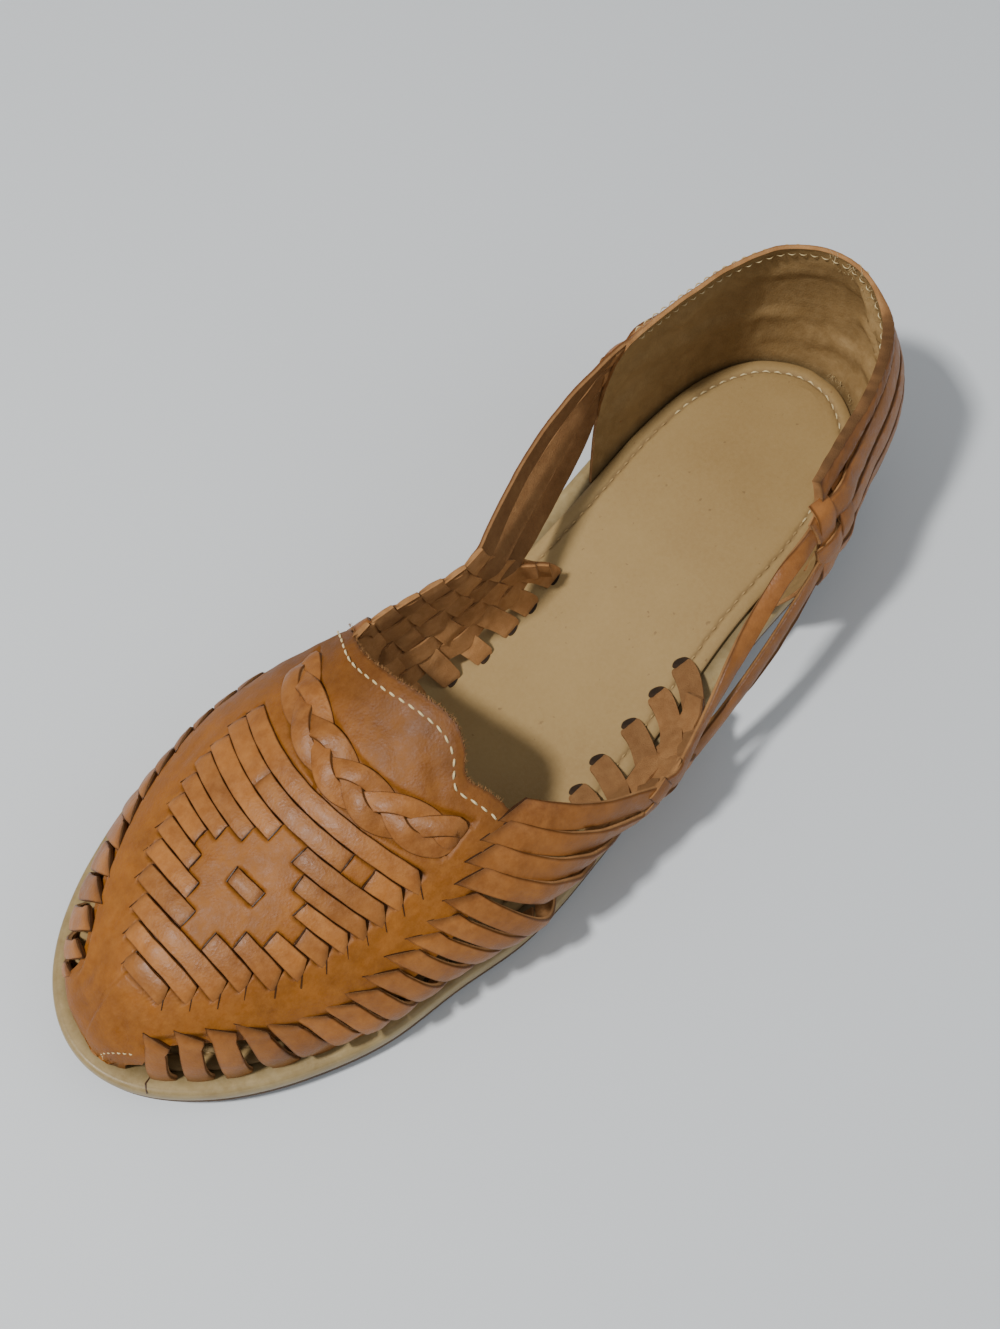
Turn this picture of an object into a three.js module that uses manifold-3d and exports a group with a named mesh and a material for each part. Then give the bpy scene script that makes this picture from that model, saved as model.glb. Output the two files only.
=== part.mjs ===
import * as THREE from "three";
import { mergeVertices } from "three/addons/utils/BufferGeometryUtils.js";
import Module from "manifold-3d";

// Woven leather huarache, left foot. Millimetres, +X to the toe, +Y lateral, +Z up.
const shoeLength = 262;
const wall = 1.9;
const gap = 0.3;
const upperLift = 0.5;
const beadWidth = 3.6;
const outsoleThick = 2.7;
const insoleThick = 1.6;
const heelFront = 72;
const spineBack = 34;
const spineFront = 222;
const braidRise = 2.6;
const braidWidth = 12;
const middleX = 131;
const middleY = 0;
const fullHeight = 45;

// plan of the sole edge: medial and lateral distance at each station
const soleRows = [
  { x: 0, med: 0, lat: 0 },
  { x: 4, med: -13.5, lat: 13.5 },
  { x: 12, med: -22.5, lat: 22.8 },
  { x: 28, med: -29.3, lat: 30.3 },
  { x: 50, med: -31, lat: 34.8 },
  { x: 80, med: -29, lat: 36.6 },
  { x: 110, med: -28.8, lat: 41 },
  { x: 140, med: -34, lat: 45 },
  { x: 168, med: -43, lat: 46.8 },
  { x: 190, med: -48.6, lat: 43.2 },
  { x: 210, med: -47.6, lat: 40.2 },
  { x: 228, med: -42.5, lat: 33.4 },
  { x: 242, med: -35.6, lat: 25.4 },
  { x: 252, med: -27.5, lat: 16.8 },
  { x: 258.5, med: -18.5, lat: 8 },
  { x: 262, med: -5, lat: -5 },
];

// side profile: underside of the outsole and top of the footbed
const profileRows = [
  { x: 0, under: 9.6, seat: 18.4 },
  { x: 40, under: 9.2, seat: 17.8 },
  { x: 70, under: 7.8, seat: 15.9 },
  { x: 92, under: 4.6, seat: 13.2 },
  { x: 115, under: 1.6, seat: 10.8 },
  { x: 138, under: 0, seat: 9.2 },
  { x: 175, under: 0, seat: 8.8 },
  { x: 210, under: 0, seat: 9 },
  { x: 238, under: 1.6, seat: 10.6 },
  { x: 262, under: 5.2, seat: 14.2 },
];

// last: centre line, height of its spine above the footbed, roundness, outward swell
const lastRows = [
  { x: 34, centre: 0, rise: 72, power: 3.2, swellMed: 1.5, swellLat: 5.5 },
  { x: 70, centre: 3, rise: 71, power: 3, swellMed: 6, swellLat: 10 },
  { x: 100, centre: 5, rise: 65, power: 2.7, swellMed: 4.5, swellLat: 8 },
  { x: 125, centre: 5, rise: 58, power: 2.4, swellMed: 3, swellLat: 9 },
  { x: 148, centre: 4, rise: 51, power: 2.2, swellMed: 4, swellLat: 11 },
  { x: 170, centre: 1.5, rise: 44, power: 2.15, swellMed: 3, swellLat: 11 },
  { x: 195, centre: -2.5, rise: 36.5, power: 2.1, swellMed: 1, swellLat: 7 },
  { x: 222, centre: -4.5, rise: 29.2, power: 2.15, swellMed: 0, swellLat: 1.5 },
  { x: 244, centre: -4.5, rise: 23.4, power: 2.15, swellMed: 0, swellLat: 0 },
  { x: 262, centre: -4.5, rise: 18, power: 2.15, swellMed: 0, swellLat: 0 },
];

// collar line seen from the side: height above the footbed
const collarRows = [
  { x: -10, h: 50 },
  { x: 6, h: 49.4 },
  { x: 22, h: 46.4 },
  { x: 50, h: 43.8 },
  { x: 62, h: 42 },
  { x: 80, h: 39 },
  { x: 102, h: 37.2 },
  { x: 122, h: 37 },
  { x: 140, h: 38.5 },
  { x: 152, h: 41.5 },
  { x: 162, h: 44 },
  { x: 176, h: 90 },
];

// opening edge of the vamp in plan, from the medial side to the lateral side
const throatRows = [
  { y: -70, x: 150 },
  { y: -36, x: 150 },
  { y: -26, x: 152 },
  { y: -16, x: 155.5 },
  { y: -4, x: 157.5 },
  { y: 6, x: 157 },
  { y: 13, x: 155.5 },
  { y: 21, x: 160 },
  { y: 28, x: 158.5 },
  { y: 36, x: 157.5 },
  { y: 70, x: 157 },
];

// open windows in the sides: corners as distance along the shoe and height above the footbed
const sideWindows = [
  { name: "waist", corners: [[72, -4], [95, -4], [103, 9], [112, 16.5], [110, 18], [67.5, 16.5]] },
  { name: "low", corners: [[66, 24], [112, 24.6], [113, 26.6], [65, 26.4]] },
  { name: "high", corners: [[63, 33], [113, 32.2], [114, 34], [62, 35.4]] },
];

// slits between the side straps: place round the sole edge in degrees, and reach up the wall
const strapSlits = [
  { deg: 118, from: 0.14, to: 0.5 },
  { deg: 124, from: 0.12, to: 0.5 },
  { deg: 130.5, from: 0.1, to: 0.5 },
  { deg: 137.5, from: 0.08, to: 0.48 },
  { deg: 145, from: 0.08, to: 0.46 },
  { deg: 152, from: 0.08, to: 0.44 },
  { deg: 160, from: 0.08, to: 0.42 },
  { deg: 168, from: 0.08, to: 0.4 },
  { deg: 193, from: 0.08, to: 0.4 },
  { deg: 201, from: 0.08, to: 0.42 },
  { deg: 209, from: 0.08, to: 0.44 },
  { deg: 217, from: 0.1, to: 0.46 },
];

const wasm = await Module();
wasm.setup();

function lookUp(rows, key, at, column) {
  const last = rows.length - 1;
  let i = 0;
  while (i < last - 1 && at > rows[i + 1][key]) i += 1;
  const a = rows[i];
  const b = rows[i + 1];
  const span = b[key] - a[key];
  const t = Math.min(1, Math.max(0, (at - a[key]) / span));
  const before = rows[Math.max(0, i - 1)];
  const after = rows[Math.min(last, i + 2)];
  const slopeA = i === 0 ? (b[column] - a[column]) / span
    : (b[column] - before[column]) / (b[key] - before[key]);
  const slopeB = i + 1 === last ? (b[column] - a[column]) / span
    : (after[column] - a[column]) / (after[key] - a[key]);
  const t2 = t * t;
  const t3 = t2 * t;
  return (2 * t3 - 3 * t2 + 1) * a[column] + (t3 - 2 * t2 + t) * span * slopeA
    + (3 * t2 - 2 * t3) * b[column] + (t3 - t2) * span * slopeB;
}

function turnOf(x) {
  return Math.acos(1 - (2 * x) / shoeLength);
}

const turnRows = soleRows.map((row) => ({ ...row, turn: turnOf(row.x) }));

// point of the sole edge: turn 0 at the heel, pi at the toe, 2 pi back at the heel
function edgePoint(turn) {
  const lateral = turn <= Math.PI;
  const t = lateral ? turn : 2 * Math.PI - turn;
  const x = (shoeLength * (1 - Math.cos(t))) / 2;
  const y = lookUp(turnRows, "turn", t, lateral ? "lat" : "med");
  return new THREE.Vector2(x, y);
}

function insetPoint(turn, inset) {
  const full = 2 * Math.PI;
  const step = 0.02;
  const a = edgePoint((turn - step + full) % full);
  const b = edgePoint((turn + step) % full);
  const along = b.sub(a).normalize();
  const p = edgePoint(turn);
  return new THREE.Vector2(p.x + along.y * inset, p.y - along.x * inset);
}

function seatAt(x) {
  return lookUp(profileRows, "x", x, "seat");
}

function underAt(x) {
  return lookUp(profileRows, "x", x, "under");
}

function lastAt(x, column) {
  return lookUp(lastRows, "x", Math.min(spineFront, Math.max(spineBack, x)), column);
}

function spineAt(turn) {
  return Math.min(spineFront, Math.max(spineBack, edgePoint(turn).x));
}

function smooth(t) {
  const k = Math.min(1, Math.max(0, t));
  return k * k * (3 - 2 * k);
}

// outward fullness of the wall at a height: the two sides differ and meet behind the heel
function swellAt(turn, sx, height) {
  const side = smooth(0.5 + (turn <= Math.PI ? turn : turn - 2 * Math.PI) / 0.9);
  const spanMed = 60 - 14 * smooth((sx - 70) / 30);
  const arch = (span) => Math.sin(Math.PI * Math.min(1, height / span));
  return side * lastAt(sx, "swellLat") * arch(fullHeight)
    + (1 - side) * lastAt(sx, "swellMed") * arch(spanMed);
}

// last surface: turn goes round the edge, climb 0 at the footbed to 1 at the spine
function lastPoint(turn, climb) {
  const foot = insetPoint(turn, beadWidth + wall);
  const sx = spineAt(turn);
  const sy = lastAt(sx, "centre");
  const power = lastAt(sx, "power");
  const angle = (climb * Math.PI) / 2;
  const inward = 1 - Math.pow(Math.cos(angle), 2 / power);
  const rise = lookUp(lastRows, "x", Math.max(spineBack, foot.x + (sx - foot.x) * inward), "rise");
  const height = rise * Math.pow(Math.sin(angle), 2 / power);
  const swell = swellAt(turn, sx, height);
  const out = new THREE.Vector2(foot.x - sx, foot.y - sy);
  const reach = out.length();
  out.multiplyScalar(1 - inward + (swell * (1 - inward)) / Math.max(reach, 1));
  const seat = seatAt(foot.x) * (1 - inward) + seatAt(sx) * inward;
  return new THREE.Vector3(sx + out.x, sy + out.y, seat + upperLift + height);
}

function lastNormal(turn, climb) {
  const full = 2 * Math.PI;
  const step = 0.015;
  if (climb > 0.985) {
    const sx = spineAt(turn);
    const fall = (lastAt(sx + 2, "rise") - lastAt(sx - 2, "rise")) / 4;
    return new THREE.Vector3(-fall, 0, 1).normalize();
  }
  const a = lastPoint((turn - step + full) % full, climb);
  const b = lastPoint((turn + step) % full, climb);
  const c = lastPoint(turn, Math.max(0.001, climb - step));
  const d = lastPoint(turn, Math.min(1, climb + step));
  const normal = d.sub(c).cross(b.sub(a));
  if (climb < 0.01) normal.z = 0;
  return normal.normalize();
}

function offsetPoint(turn, climb, out) {
  return lastPoint(turn, climb).addScaledVector(lastNormal(turn, climb), out);
}

function meshOf(points, faces) {
  const geometry = new THREE.BufferGeometry();
  const flat = new Float32Array(points.length * 3);
  points.forEach((p, i) => p.toArray(flat, i * 3));
  geometry.setAttribute("position", new THREE.BufferAttribute(flat, 3));
  geometry.setIndex(faces.flat());
  return mergeVertices(geometry, 1e-4);
}

function toManifold(geometry) {
  const position = geometry.getAttribute("position");
  const mesh = new wasm.Mesh({
    numProp: 3,
    vertProperties: new Float32Array(position.array),
    triVerts: new Uint32Array(dropFlat(geometry.getIndex().array)),
  });
  return new wasm.Manifold(mesh);
}

function dropFlat(index) {
  const kept = [];
  for (let i = 0; i < index.length; i += 3) {
    const [a, b, c] = [index[i], index[i + 1], index[i + 2]];
    if (a !== b && b !== c && a !== c) kept.push(a, b, c);
  }
  return kept;
}

function toGeometry(body) {
  const mesh = body.getMesh();
  const geometry = new THREE.BufferGeometry();
  const count = mesh.vertProperties.length / mesh.numProp;
  const flat = new Float32Array(count * 3);
  for (let i = 0; i < count; i += 1) {
    for (let k = 0; k < 3; k += 1) flat[i * 3 + k] = mesh.vertProperties[i * mesh.numProp + k];
  }
  geometry.setAttribute("position", new THREE.BufferAttribute(flat, 3));
  geometry.setIndex(new THREE.BufferAttribute(new Uint32Array(mesh.triVerts), 1));
  return geometry;
}

// closed body from stacked rings; every ring runs lateral heel to toe, then back medial
function ringBody(rings) {
  const count = rings[0].length;
  const points = rings.flat();
  const faces = [];
  for (let r = 0; r + 1 < rings.length; r += 1) {
    for (let i = 0; i < count; i += 1) {
      const j = (i + 1) % count;
      const a = r * count + i;
      const b = r * count + j;
      faces.push([a, a + count, b + count], [a, b + count, b]);
    }
  }
  const top = (rings.length - 1) * count;
  for (let i = 0; i < count / 2 - 1; i += 1) {
    const k = count - 1 - i;
    faces.push([i, i + 1, k], [i + 1, k - 1, k]);
    faces.push([top + i, top + k, top + i + 1], [top + i + 1, top + k, top + k - 1]);
  }
  return toManifold(meshOf(points, faces));
}

function soleRing(fromX, toX, steps, inset, heightAt) {
  const ring = [];
  const t0 = turnOf(fromX);
  const t1 = turnOf(toX);
  for (let i = 0; i < steps; i += 1) ring.push(t0 + ((t1 - t0) * (i + 0.5)) / steps);
  const turns = ring.concat(ring.map((t) => 2 * Math.PI - t).reverse());
  return turns.map((turn) => {
    const p = insetPoint(turn, inset);
    return new THREE.Vector3(p.x, p.y, heightAt(p.x));
  });
}

function outsoleBody() {
  const top = (x) => underAt(x) + outsoleThick;
  const rings = [
    soleRing(0, shoeLength, 40, 1.4, underAt),
    soleRing(0, shoeLength, 40, 0.7, (x) => underAt(x) + 0.7),
    soleRing(0, shoeLength, 40, 0.6, top),
  ];
  return ringBody(rings);
}

function heelBody() {
  const rings = [
    soleRing(0, heelFront, 16, 3.2, () => 0),
    soleRing(0, heelFront, 16, 2.6, () => 1.2),
    soleRing(0, heelFront, 16, 1.0, (x) => underAt(x) - gap),
  ];
  return ringBody(rings);
}

function footbedBody() {
  const low = (x) => underAt(x) + outsoleThick + gap;
  const part = (share, drop) => (x) => low(x) + (seatAt(x) - low(x)) * share - drop;
  const rings = [
    soleRing(0, shoeLength, 40, 1.0, low),
    soleRing(0, shoeLength, 40, 0.2, part(0.3, 0)),
    soleRing(0, shoeLength, 40, 0.1, part(0.62, 0)),
    soleRing(0, shoeLength, 40, 0.9, part(0.88, 0)),
    soleRing(0, shoeLength, 40, 2.4, part(1, 0)),
  ];
  return ringBody(rings);
}

function insoleBody() {
  const inset = beadWidth + wall + gap + 0.2;
  const base = (x) => seatAt(x) + gap;
  const rings = [
    soleRing(0, shoeLength, 36, inset, base),
    soleRing(0, shoeLength, 36, inset, (x) => base(x) + insoleThick - 0.4),
    soleRing(0, shoeLength, 36, inset + 0.5, (x) => base(x) + insoleThick),
  ];
  return ringBody(rings);
}

// closed dome over the footbed, pushed out from the last
function domeBody(out, drop) {
  const around = 92;
  const climbs = [0, 0.07, 0.14, 0.22, 0.3, 0.38, 0.46, 0.54, 0.62, 0.7, 0.79, 0.88, 0.95, 1];
  const points = [];
  const faces = [];
  const turnAt = (i) => (2 * Math.PI * (i + 0.5)) / around;
  for (let i = 0; i < around; i += 1) {
    const foot = offsetPoint(turnAt(i), 0, out);
    points.push(new THREE.Vector3(foot.x, foot.y, foot.z - drop));
    climbs.forEach((climb) => points.push(offsetPoint(turnAt(i), climb, out)));
  }
  const column = climbs.length + 1;
  for (let i = 0; i < around; i += 1) {
    const a = i * column;
    const b = ((i + 1) % around) * column;
    for (let r = 0; r + 1 < column; r += 1) {
      faces.push([a + r, b + r + 1, b + r], [a + r, a + r + 1, b + r + 1]);
    }
  }
  for (let i = 0; i < around / 2 - 1; i += 1) {
    const k = around - 1 - i;
    faces.push([i * column, (i + 1) * column, k * column]);
    faces.push([(i + 1) * column, (k - 1) * column, k * column]);
  }
  return toManifold(meshOf(points, faces));
}

// body swept from corners given in the side view (X, Z) along Y, or in plan (X, Y) along Z
function prism(corners, depth) {
  const shape = new THREE.Shape(corners.map(([a, b]) => new THREE.Vector2(a, b)));
  return new THREE.ExtrudeGeometry(shape, { depth, bevelEnabled: false });
}

function sidePrism(corners) {
  return toManifold(prepared(prism(corners, 160).rotateX(Math.PI / 2).translate(0, 80, 0)));
}

function collarCutter() {
  const corners = [];
  for (let x = -10; x <= 174; x += 4) {
    corners.push([x, seatAt(Math.max(0, x)) + lookUp(collarRows, "x", x, "h")]);
  }
  const over = sidePrism([...corners, [174, 160], [-10, 160]]);
  const plan = [];
  for (let y = -70; y <= 70; y += 3.5) plan.push([lookUp(throatRows, "y", y, "x"), y]);
  return over.intersect(toManifold(prepared(prism([...plan, [-30, 70], [-30, -70]], 180))));
}

function windowCutter(shape) {
  const corners = shape.corners.map(([x, h]) => [x, seatAt(x) + upperLift + h]);
  return sidePrism(corners);
}

function slitCutter(slit) {
  const turn = THREE.MathUtils.degToRad(slit.deg);
  const a = lastPoint(turn, slit.from);
  const b = lastPoint(turn, slit.to);
  const up = b.clone().sub(a);
  const out = lastNormal(turn, (slit.from + slit.to) / 2);
  const side = out.clone().cross(up).normalize();
  const box = toManifold(prepared(new THREE.BoxGeometry(1.5, up.length(), 16)));
  const frame = new THREE.Matrix4().makeBasis(side, up.clone().normalize(), side.clone().cross(up).normalize());
  frame.setPosition(a.clone().add(b).multiplyScalar(0.5));
  return box.transform(frame.elements);
}

function prepared(geometry) {
  geometry.deleteAttribute("normal");
  geometry.deleteAttribute("uv");
  return mergeVertices(geometry, 1e-4);
}

function upperBody() {
  let body = domeBody(wall, 0).subtract(domeBody(0, 3));
  body = body.subtract(collarCutter());
  sideWindows.forEach((shape) => {
    body = body.subtract(windowCutter(shape));
  });
  strapSlits.forEach((slit) => {
    body = body.subtract(slitCutter(slit));
  });
  return body;
}

function braidBody() {
  const across = 28;
  const rounds = 8;
  const rings = [];
  for (let i = 0; i <= across; i += 1) {
    const w = -0.4 + (0.78 * i) / across;
    const x = 178.5 - 52 * w * w;
    const ring = [];
    for (let k = 0; k < rounds; k += 1) {
      const spin = (2 * Math.PI * k) / rounds;
      const turn = turnOf(x + (Math.cos(spin) * braidWidth) / 2);
      const round = w >= 0 ? turn : 2 * Math.PI - turn;
      const lift = wall + gap + (braidRise / 2) * (1 + Math.sin(spin));
      ring.push(offsetPoint(round, 1 - Math.abs(w), lift));
    }
    rings.push(ring);
  }
  return tubeBody(rings);
}

function tubeBody(rings) {
  const count = rings[0].length;
  const points = rings.flat();
  const faces = [];
  for (let r = 0; r + 1 < rings.length; r += 1) {
    for (let i = 0; i < count; i += 1) {
      const a = r * count + i;
      const b = r * count + ((i + 1) % count);
      faces.push([a, b + count, b], [a, a + count, b + count]);
    }
  }
  const end = (rings.length - 1) * count;
  for (let i = 1; i < count - 1; i += 1) {
    faces.push([0, i, i + 1], [end, end + i + 1, end + i]);
  }
  return toManifold(meshOf(points, faces));
}

function addPart(group, name, body, colour, roughness) {
  const material = new THREE.MeshStandardMaterial({ color: colour, roughness, metalness: 0 });
  const mesh = new THREE.Mesh(toGeometry(body), material);
  mesh.name = name;
  mesh.geometry.translate(-middleX, -middleY, 0);
  group.add(mesh);
}

const huarache = new THREE.Group();
addPart(huarache, "outsole", outsoleBody(), 0x4a3a2c, 0.8);
addPart(huarache, "heel_block", heelBody(), 0x2a2421, 0.8);
addPart(huarache, "footbed", footbedBody(), 0xb0926a, 0.6);
addPart(huarache, "insole", insoleBody(), 0xab9166, 0.85);
addPart(huarache, "upper", upperBody(), 0xbd7a36, 0.5);
addPart(huarache, "vamp_braid", braidBody(), 0xa3632c, 0.5);

export default huarache;
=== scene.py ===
import math
import random
import bpy
import bmesh
from mathutils import Vector, Matrix, noise
from mathutils.bvhtree import BVHTree


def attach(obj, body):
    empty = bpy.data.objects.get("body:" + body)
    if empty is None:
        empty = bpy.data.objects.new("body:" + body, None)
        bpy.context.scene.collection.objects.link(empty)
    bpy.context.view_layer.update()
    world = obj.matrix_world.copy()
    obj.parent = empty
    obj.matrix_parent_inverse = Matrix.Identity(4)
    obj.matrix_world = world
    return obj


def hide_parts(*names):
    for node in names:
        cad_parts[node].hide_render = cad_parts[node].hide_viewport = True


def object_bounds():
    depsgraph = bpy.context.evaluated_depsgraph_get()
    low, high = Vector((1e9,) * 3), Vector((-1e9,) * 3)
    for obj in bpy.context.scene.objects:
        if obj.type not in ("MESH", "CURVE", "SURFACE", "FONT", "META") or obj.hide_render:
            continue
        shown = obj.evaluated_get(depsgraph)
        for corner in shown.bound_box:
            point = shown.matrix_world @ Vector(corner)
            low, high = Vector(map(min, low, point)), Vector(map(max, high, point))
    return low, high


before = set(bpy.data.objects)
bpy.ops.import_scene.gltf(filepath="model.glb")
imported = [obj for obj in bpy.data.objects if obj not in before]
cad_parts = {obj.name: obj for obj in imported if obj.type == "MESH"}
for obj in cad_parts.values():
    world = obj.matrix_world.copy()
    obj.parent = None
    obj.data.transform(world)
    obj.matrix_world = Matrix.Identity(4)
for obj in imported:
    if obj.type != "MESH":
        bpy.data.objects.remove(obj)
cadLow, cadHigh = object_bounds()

print("stage: shoe form")

# the shoe's own sizes in millimetres: x from the heel, y to the lateral side, z from the ground
form = {
    "length": 262.0, "wall": 1.9, "bead": 3.6, "lift": 0.5, "outsole": 2.7,
    "spineBack": 34.0, "spineFront": 222.0, "heelFront": 72.0, "fullLat": 45.0,
}
originX = cadLow[0] * 1000 - 0.2


def table(columns, *rows):
    return [dict(zip(columns.split(), row)) for row in rows]


def smooth(t):
    t = min(1.0, max(0.0, t))
    return t * t * (3 - 2 * t)


def lerp(a, b, t):
    return a + (b - a) * t


# a smooth curve through the rows of a table, read at one place
def lookUp(rows, key, at, column):
    last = len(rows) - 1
    i = 0
    while i < last - 1 and at > rows[i + 1][key]:
        i += 1
    a, b = rows[i], rows[i + 1]
    span = b[key] - a[key]
    t = min(1.0, max(0.0, (at - a[key]) / span))
    before, after = rows[max(0, i - 1)], rows[min(last, i + 2)]
    rise = b[column] - a[column]
    slopeA = rise / span if i == 0 else (b[column] - before[column]) / (b[key] - before[key])
    slopeB = rise / span if i + 1 == last else (after[column] - a[column]) / (after[key] - a[key])
    t2, t3 = t * t, t * t * t
    return ((2 * t3 - 3 * t2 + 1) * a[column] + (t3 - 2 * t2 + t) * span * slopeA
            + (3 * t2 - 2 * t3) * b[column] + (t3 - t2) * span * slopeB)


# edge of the sole on each side
soleRows = table(
    "x med lat",
    (0, 0, 0), (4, -13.5, 13.5), (12, -22.5, 22.8), (28, -29.3, 30.3),
    (50, -31, 34.8), (80, -29, 36.6), (110, -28.8, 41), (140, -34, 45),
    (168, -43, 46.8), (190, -48.6, 43.2), (210, -47.6, 40.2), (228, -42.5, 33.4),
    (242, -35.6, 25.4), (252, -27.5, 16.8), (258.5, -18.5, 8), (262, -5, -5),
)
# underside and top of the sole
profileRows = table(
    "x under seat",
    (0, 9.6, 18.4), (40, 9.2, 17.8), (70, 7.8, 15.9), (92, 4.6, 13.2), (115, 1.6, 10.8),
    (138, 0, 9.2), (175, 0, 8.8), (210, 0, 9), (238, 1.6, 10.6), (262, 5.2, 14.2),
)
# the foot's form: middle line, height over it, squareness and the fullness of each side
lastRows = table(
    "x centre rise power swellMed swellLat",
    (34, 0, 72, 3.2, 1.5, 5.5),
    (70, 3, 71, 3, 6, 10),
    (100, 5, 65, 2.7, 4.5, 8),
    (125, 5, 58, 2.4, 3, 9),
    (148, 4, 51, 2.2, 4, 11),
    (170, 1.5, 44, 2.15, 3, 11),
    (195, -2.5, 36.5, 2.1, 1, 7),
    (222, -4.5, 29.2, 2.15, 0, 1.5),
    (244, -4.5, 23.4, 2.15, 0, 0),
    (262, -4.5, 18, 2.15, 0, 0),
)
collarRows = table("x h", (-10, 50), (6, 49.4), (22, 46.4), (50, 43.8), (62, 42), (80, 39))


def collarAt(x):
    return lookUp(collarRows, "x", x, "h")


def turnOf(x):
    return math.acos(max(-1.0, min(1.0, 1 - 2 * x / form["length"])))


def sideTurn(x, side):
    return turnOf(x) if side > 0 else 2 * math.pi - turnOf(x)


turnRows = [dict(row, turn=turnOf(row["x"])) for row in soleRows]


def edgePoint(turn):
    turn = turn % (2 * math.pi)
    lateral = turn <= math.pi
    t = turn if lateral else 2 * math.pi - turn
    return (form["length"] * (1 - math.cos(t)) / 2, lookUp(turnRows, "turn", t, "lat" if lateral else "med"))


def insetPoint(turn, inset):
    a, b, p = edgePoint(turn - 0.02), edgePoint(turn + 0.02), edgePoint(turn)
    dx, dy = b[0] - a[0], b[1] - a[1]
    size = math.hypot(dx, dy)
    return (p[0] + dy / size * inset, p[1] - dx / size * inset)


def seatAt(x):
    return lookUp(profileRows, "x", x, "seat")


def underAt(x):
    return lookUp(profileRows, "x", x, "under")


def onSpine(x):
    return min(form["spineFront"], max(form["spineBack"], x))


def lastAt(x, column):
    return lookUp(lastRows, "x", onSpine(x), column)


# outward fullness at a height; the sides differ and meet behind the heel
def swellAt(turn, sx, height):
    side = smooth(0.5 + (turn if turn <= math.pi else turn - 2 * math.pi) / 0.9)
    spanMed = lerp(60, 46, smooth((sx - 70) / 30))
    return (side * lastAt(sx, "swellLat") * math.sin(math.pi * min(1.0, height / form["fullLat"]))
            + (1 - side) * lastAt(sx, "swellMed") * math.sin(math.pi * min(1.0, height / spanMed)))


# the last: turn goes round the sole edge, climb goes up the wall to the middle line
def lastPoint(turn, climb):
    turn = turn % (2 * math.pi)
    foot = insetPoint(turn, form["bead"] + form["wall"])
    sx = onSpine(edgePoint(turn)[0])
    sy, power = lastAt(sx, "centre"), lastAt(sx, "power")
    angle = climb * math.pi / 2
    inward = 1 - max(0.0, math.cos(angle)) ** (2 / power)
    rise = lookUp(lastRows, "x", max(form["spineBack"], foot[0] + (sx - foot[0]) * inward), "rise")
    height = rise * math.sin(angle) ** (2 / power)
    swell = swellAt(turn, sx, height)
    ox, oy = foot[0] - sx, foot[1] - sy
    share = (1 - inward) * (1 + swell / max(math.hypot(ox, oy), 1))
    seat = seatAt(foot[0]) * (1 - inward) + seatAt(sx) * inward
    return Vector((sx + ox * share, sy + oy * share, seat + form["lift"] + height))


def climbOf(turn, height):
    sx = onSpine(edgePoint(turn)[0])
    ratio = min(1.0, max(0.0, height) / lastAt(sx, "rise"))
    return math.asin(ratio ** (lastAt(sx, "power") / 2)) * 2 / math.pi


# a point of the upper's wall at a height over the sole, and its outward normal
def wallPoint(turn, height, out=0.0):
    turn = turn % (2 * math.pi)
    climb = climbOf(turn, height)
    base = lastPoint(turn, climb)
    along = lastPoint(turn + 0.02, climb) - lastPoint(turn - 0.02, climb)
    up = lastPoint(turn, min(1.0, climb + 0.03)) - lastPoint(turn, max(0.0, climb - 0.03))
    normal = up.cross(along).normalized()
    base.z += min(0.0, height)
    return base + normal * out, normal


def lastTree():
    around, rise = 320, 60
    points = [lastPoint(2 * math.pi * i / around, j / rise) for i in range(around) for j in range(rise + 1)]
    faces = []
    for i in range(around):
        here, there = i * (rise + 1), (i + 1) % around * (rise + 1)
        for j in range(rise):
            faces.append((here + j, here + j + 1, there + j + 1, there + j))
    return BVHTree.FromPolygons(points, faces)


tree = lastTree()


# the vamp seen in plan
def topHeight(x, y):
    hit = tree.ray_cast(Vector((x, y, 150)), Vector((0, 0, -1)))[0]
    return hit.z if hit else seatAt(x)


def topPoint(x, y, out=0.0):
    e = 1.2
    slopeX = (topHeight(x + e, y) - topHeight(x - e, y)) / (2 * e)
    slopeY = (topHeight(x, y + e) - topHeight(x, y - e)) / (2 * e)
    normal = Vector((-slopeX, -slopeY, 1)).normalized()
    return Vector((x, y, topHeight(x, y))) + normal * out, normal


# turn and height of the wall under a place in plan
def spotOf(x, y):
    best = min(((lastPoint(math.pi * i / 60, j / 16).xy - Vector((x, y))).length, math.pi * i / 60, j / 16)
               for i in range(121) for j in range(1, 15))
    turn, climb = best[1], best[2]
    for _ in range(6):
        p = lastPoint(turn, climb)
        du = (lastPoint(turn + 0.01, climb) - p) / 0.01
        dv = (lastPoint(turn, climb + 0.01) - p) / 0.01
        det = du.x * dv.y - du.y * dv.x
        if abs(det) < 1:
            break
        ex, ey = x - p.x, y - p.y
        turn += max(-0.08, min(0.08, (ex * dv.y - ey * dv.x) / det))
        climb = min(0.97, max(0.02, climb + max(-0.06, min(0.06, (du.x * ey - du.y * ex) / det))))
    sx = onSpine(edgePoint(turn)[0])
    height = lastAt(sx, "rise") * math.sin(climb * math.pi / 2) ** (2 / lastAt(sx, "power"))
    return turn, height


def metres(p):
    return Vector(((p[0] + originX) / 1000, p[1] / 1000, p[2] / 1000))


def rough(x, y, z, size):
    return noise.noise(Vector((x / size, y / size, z / size)))


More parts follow.
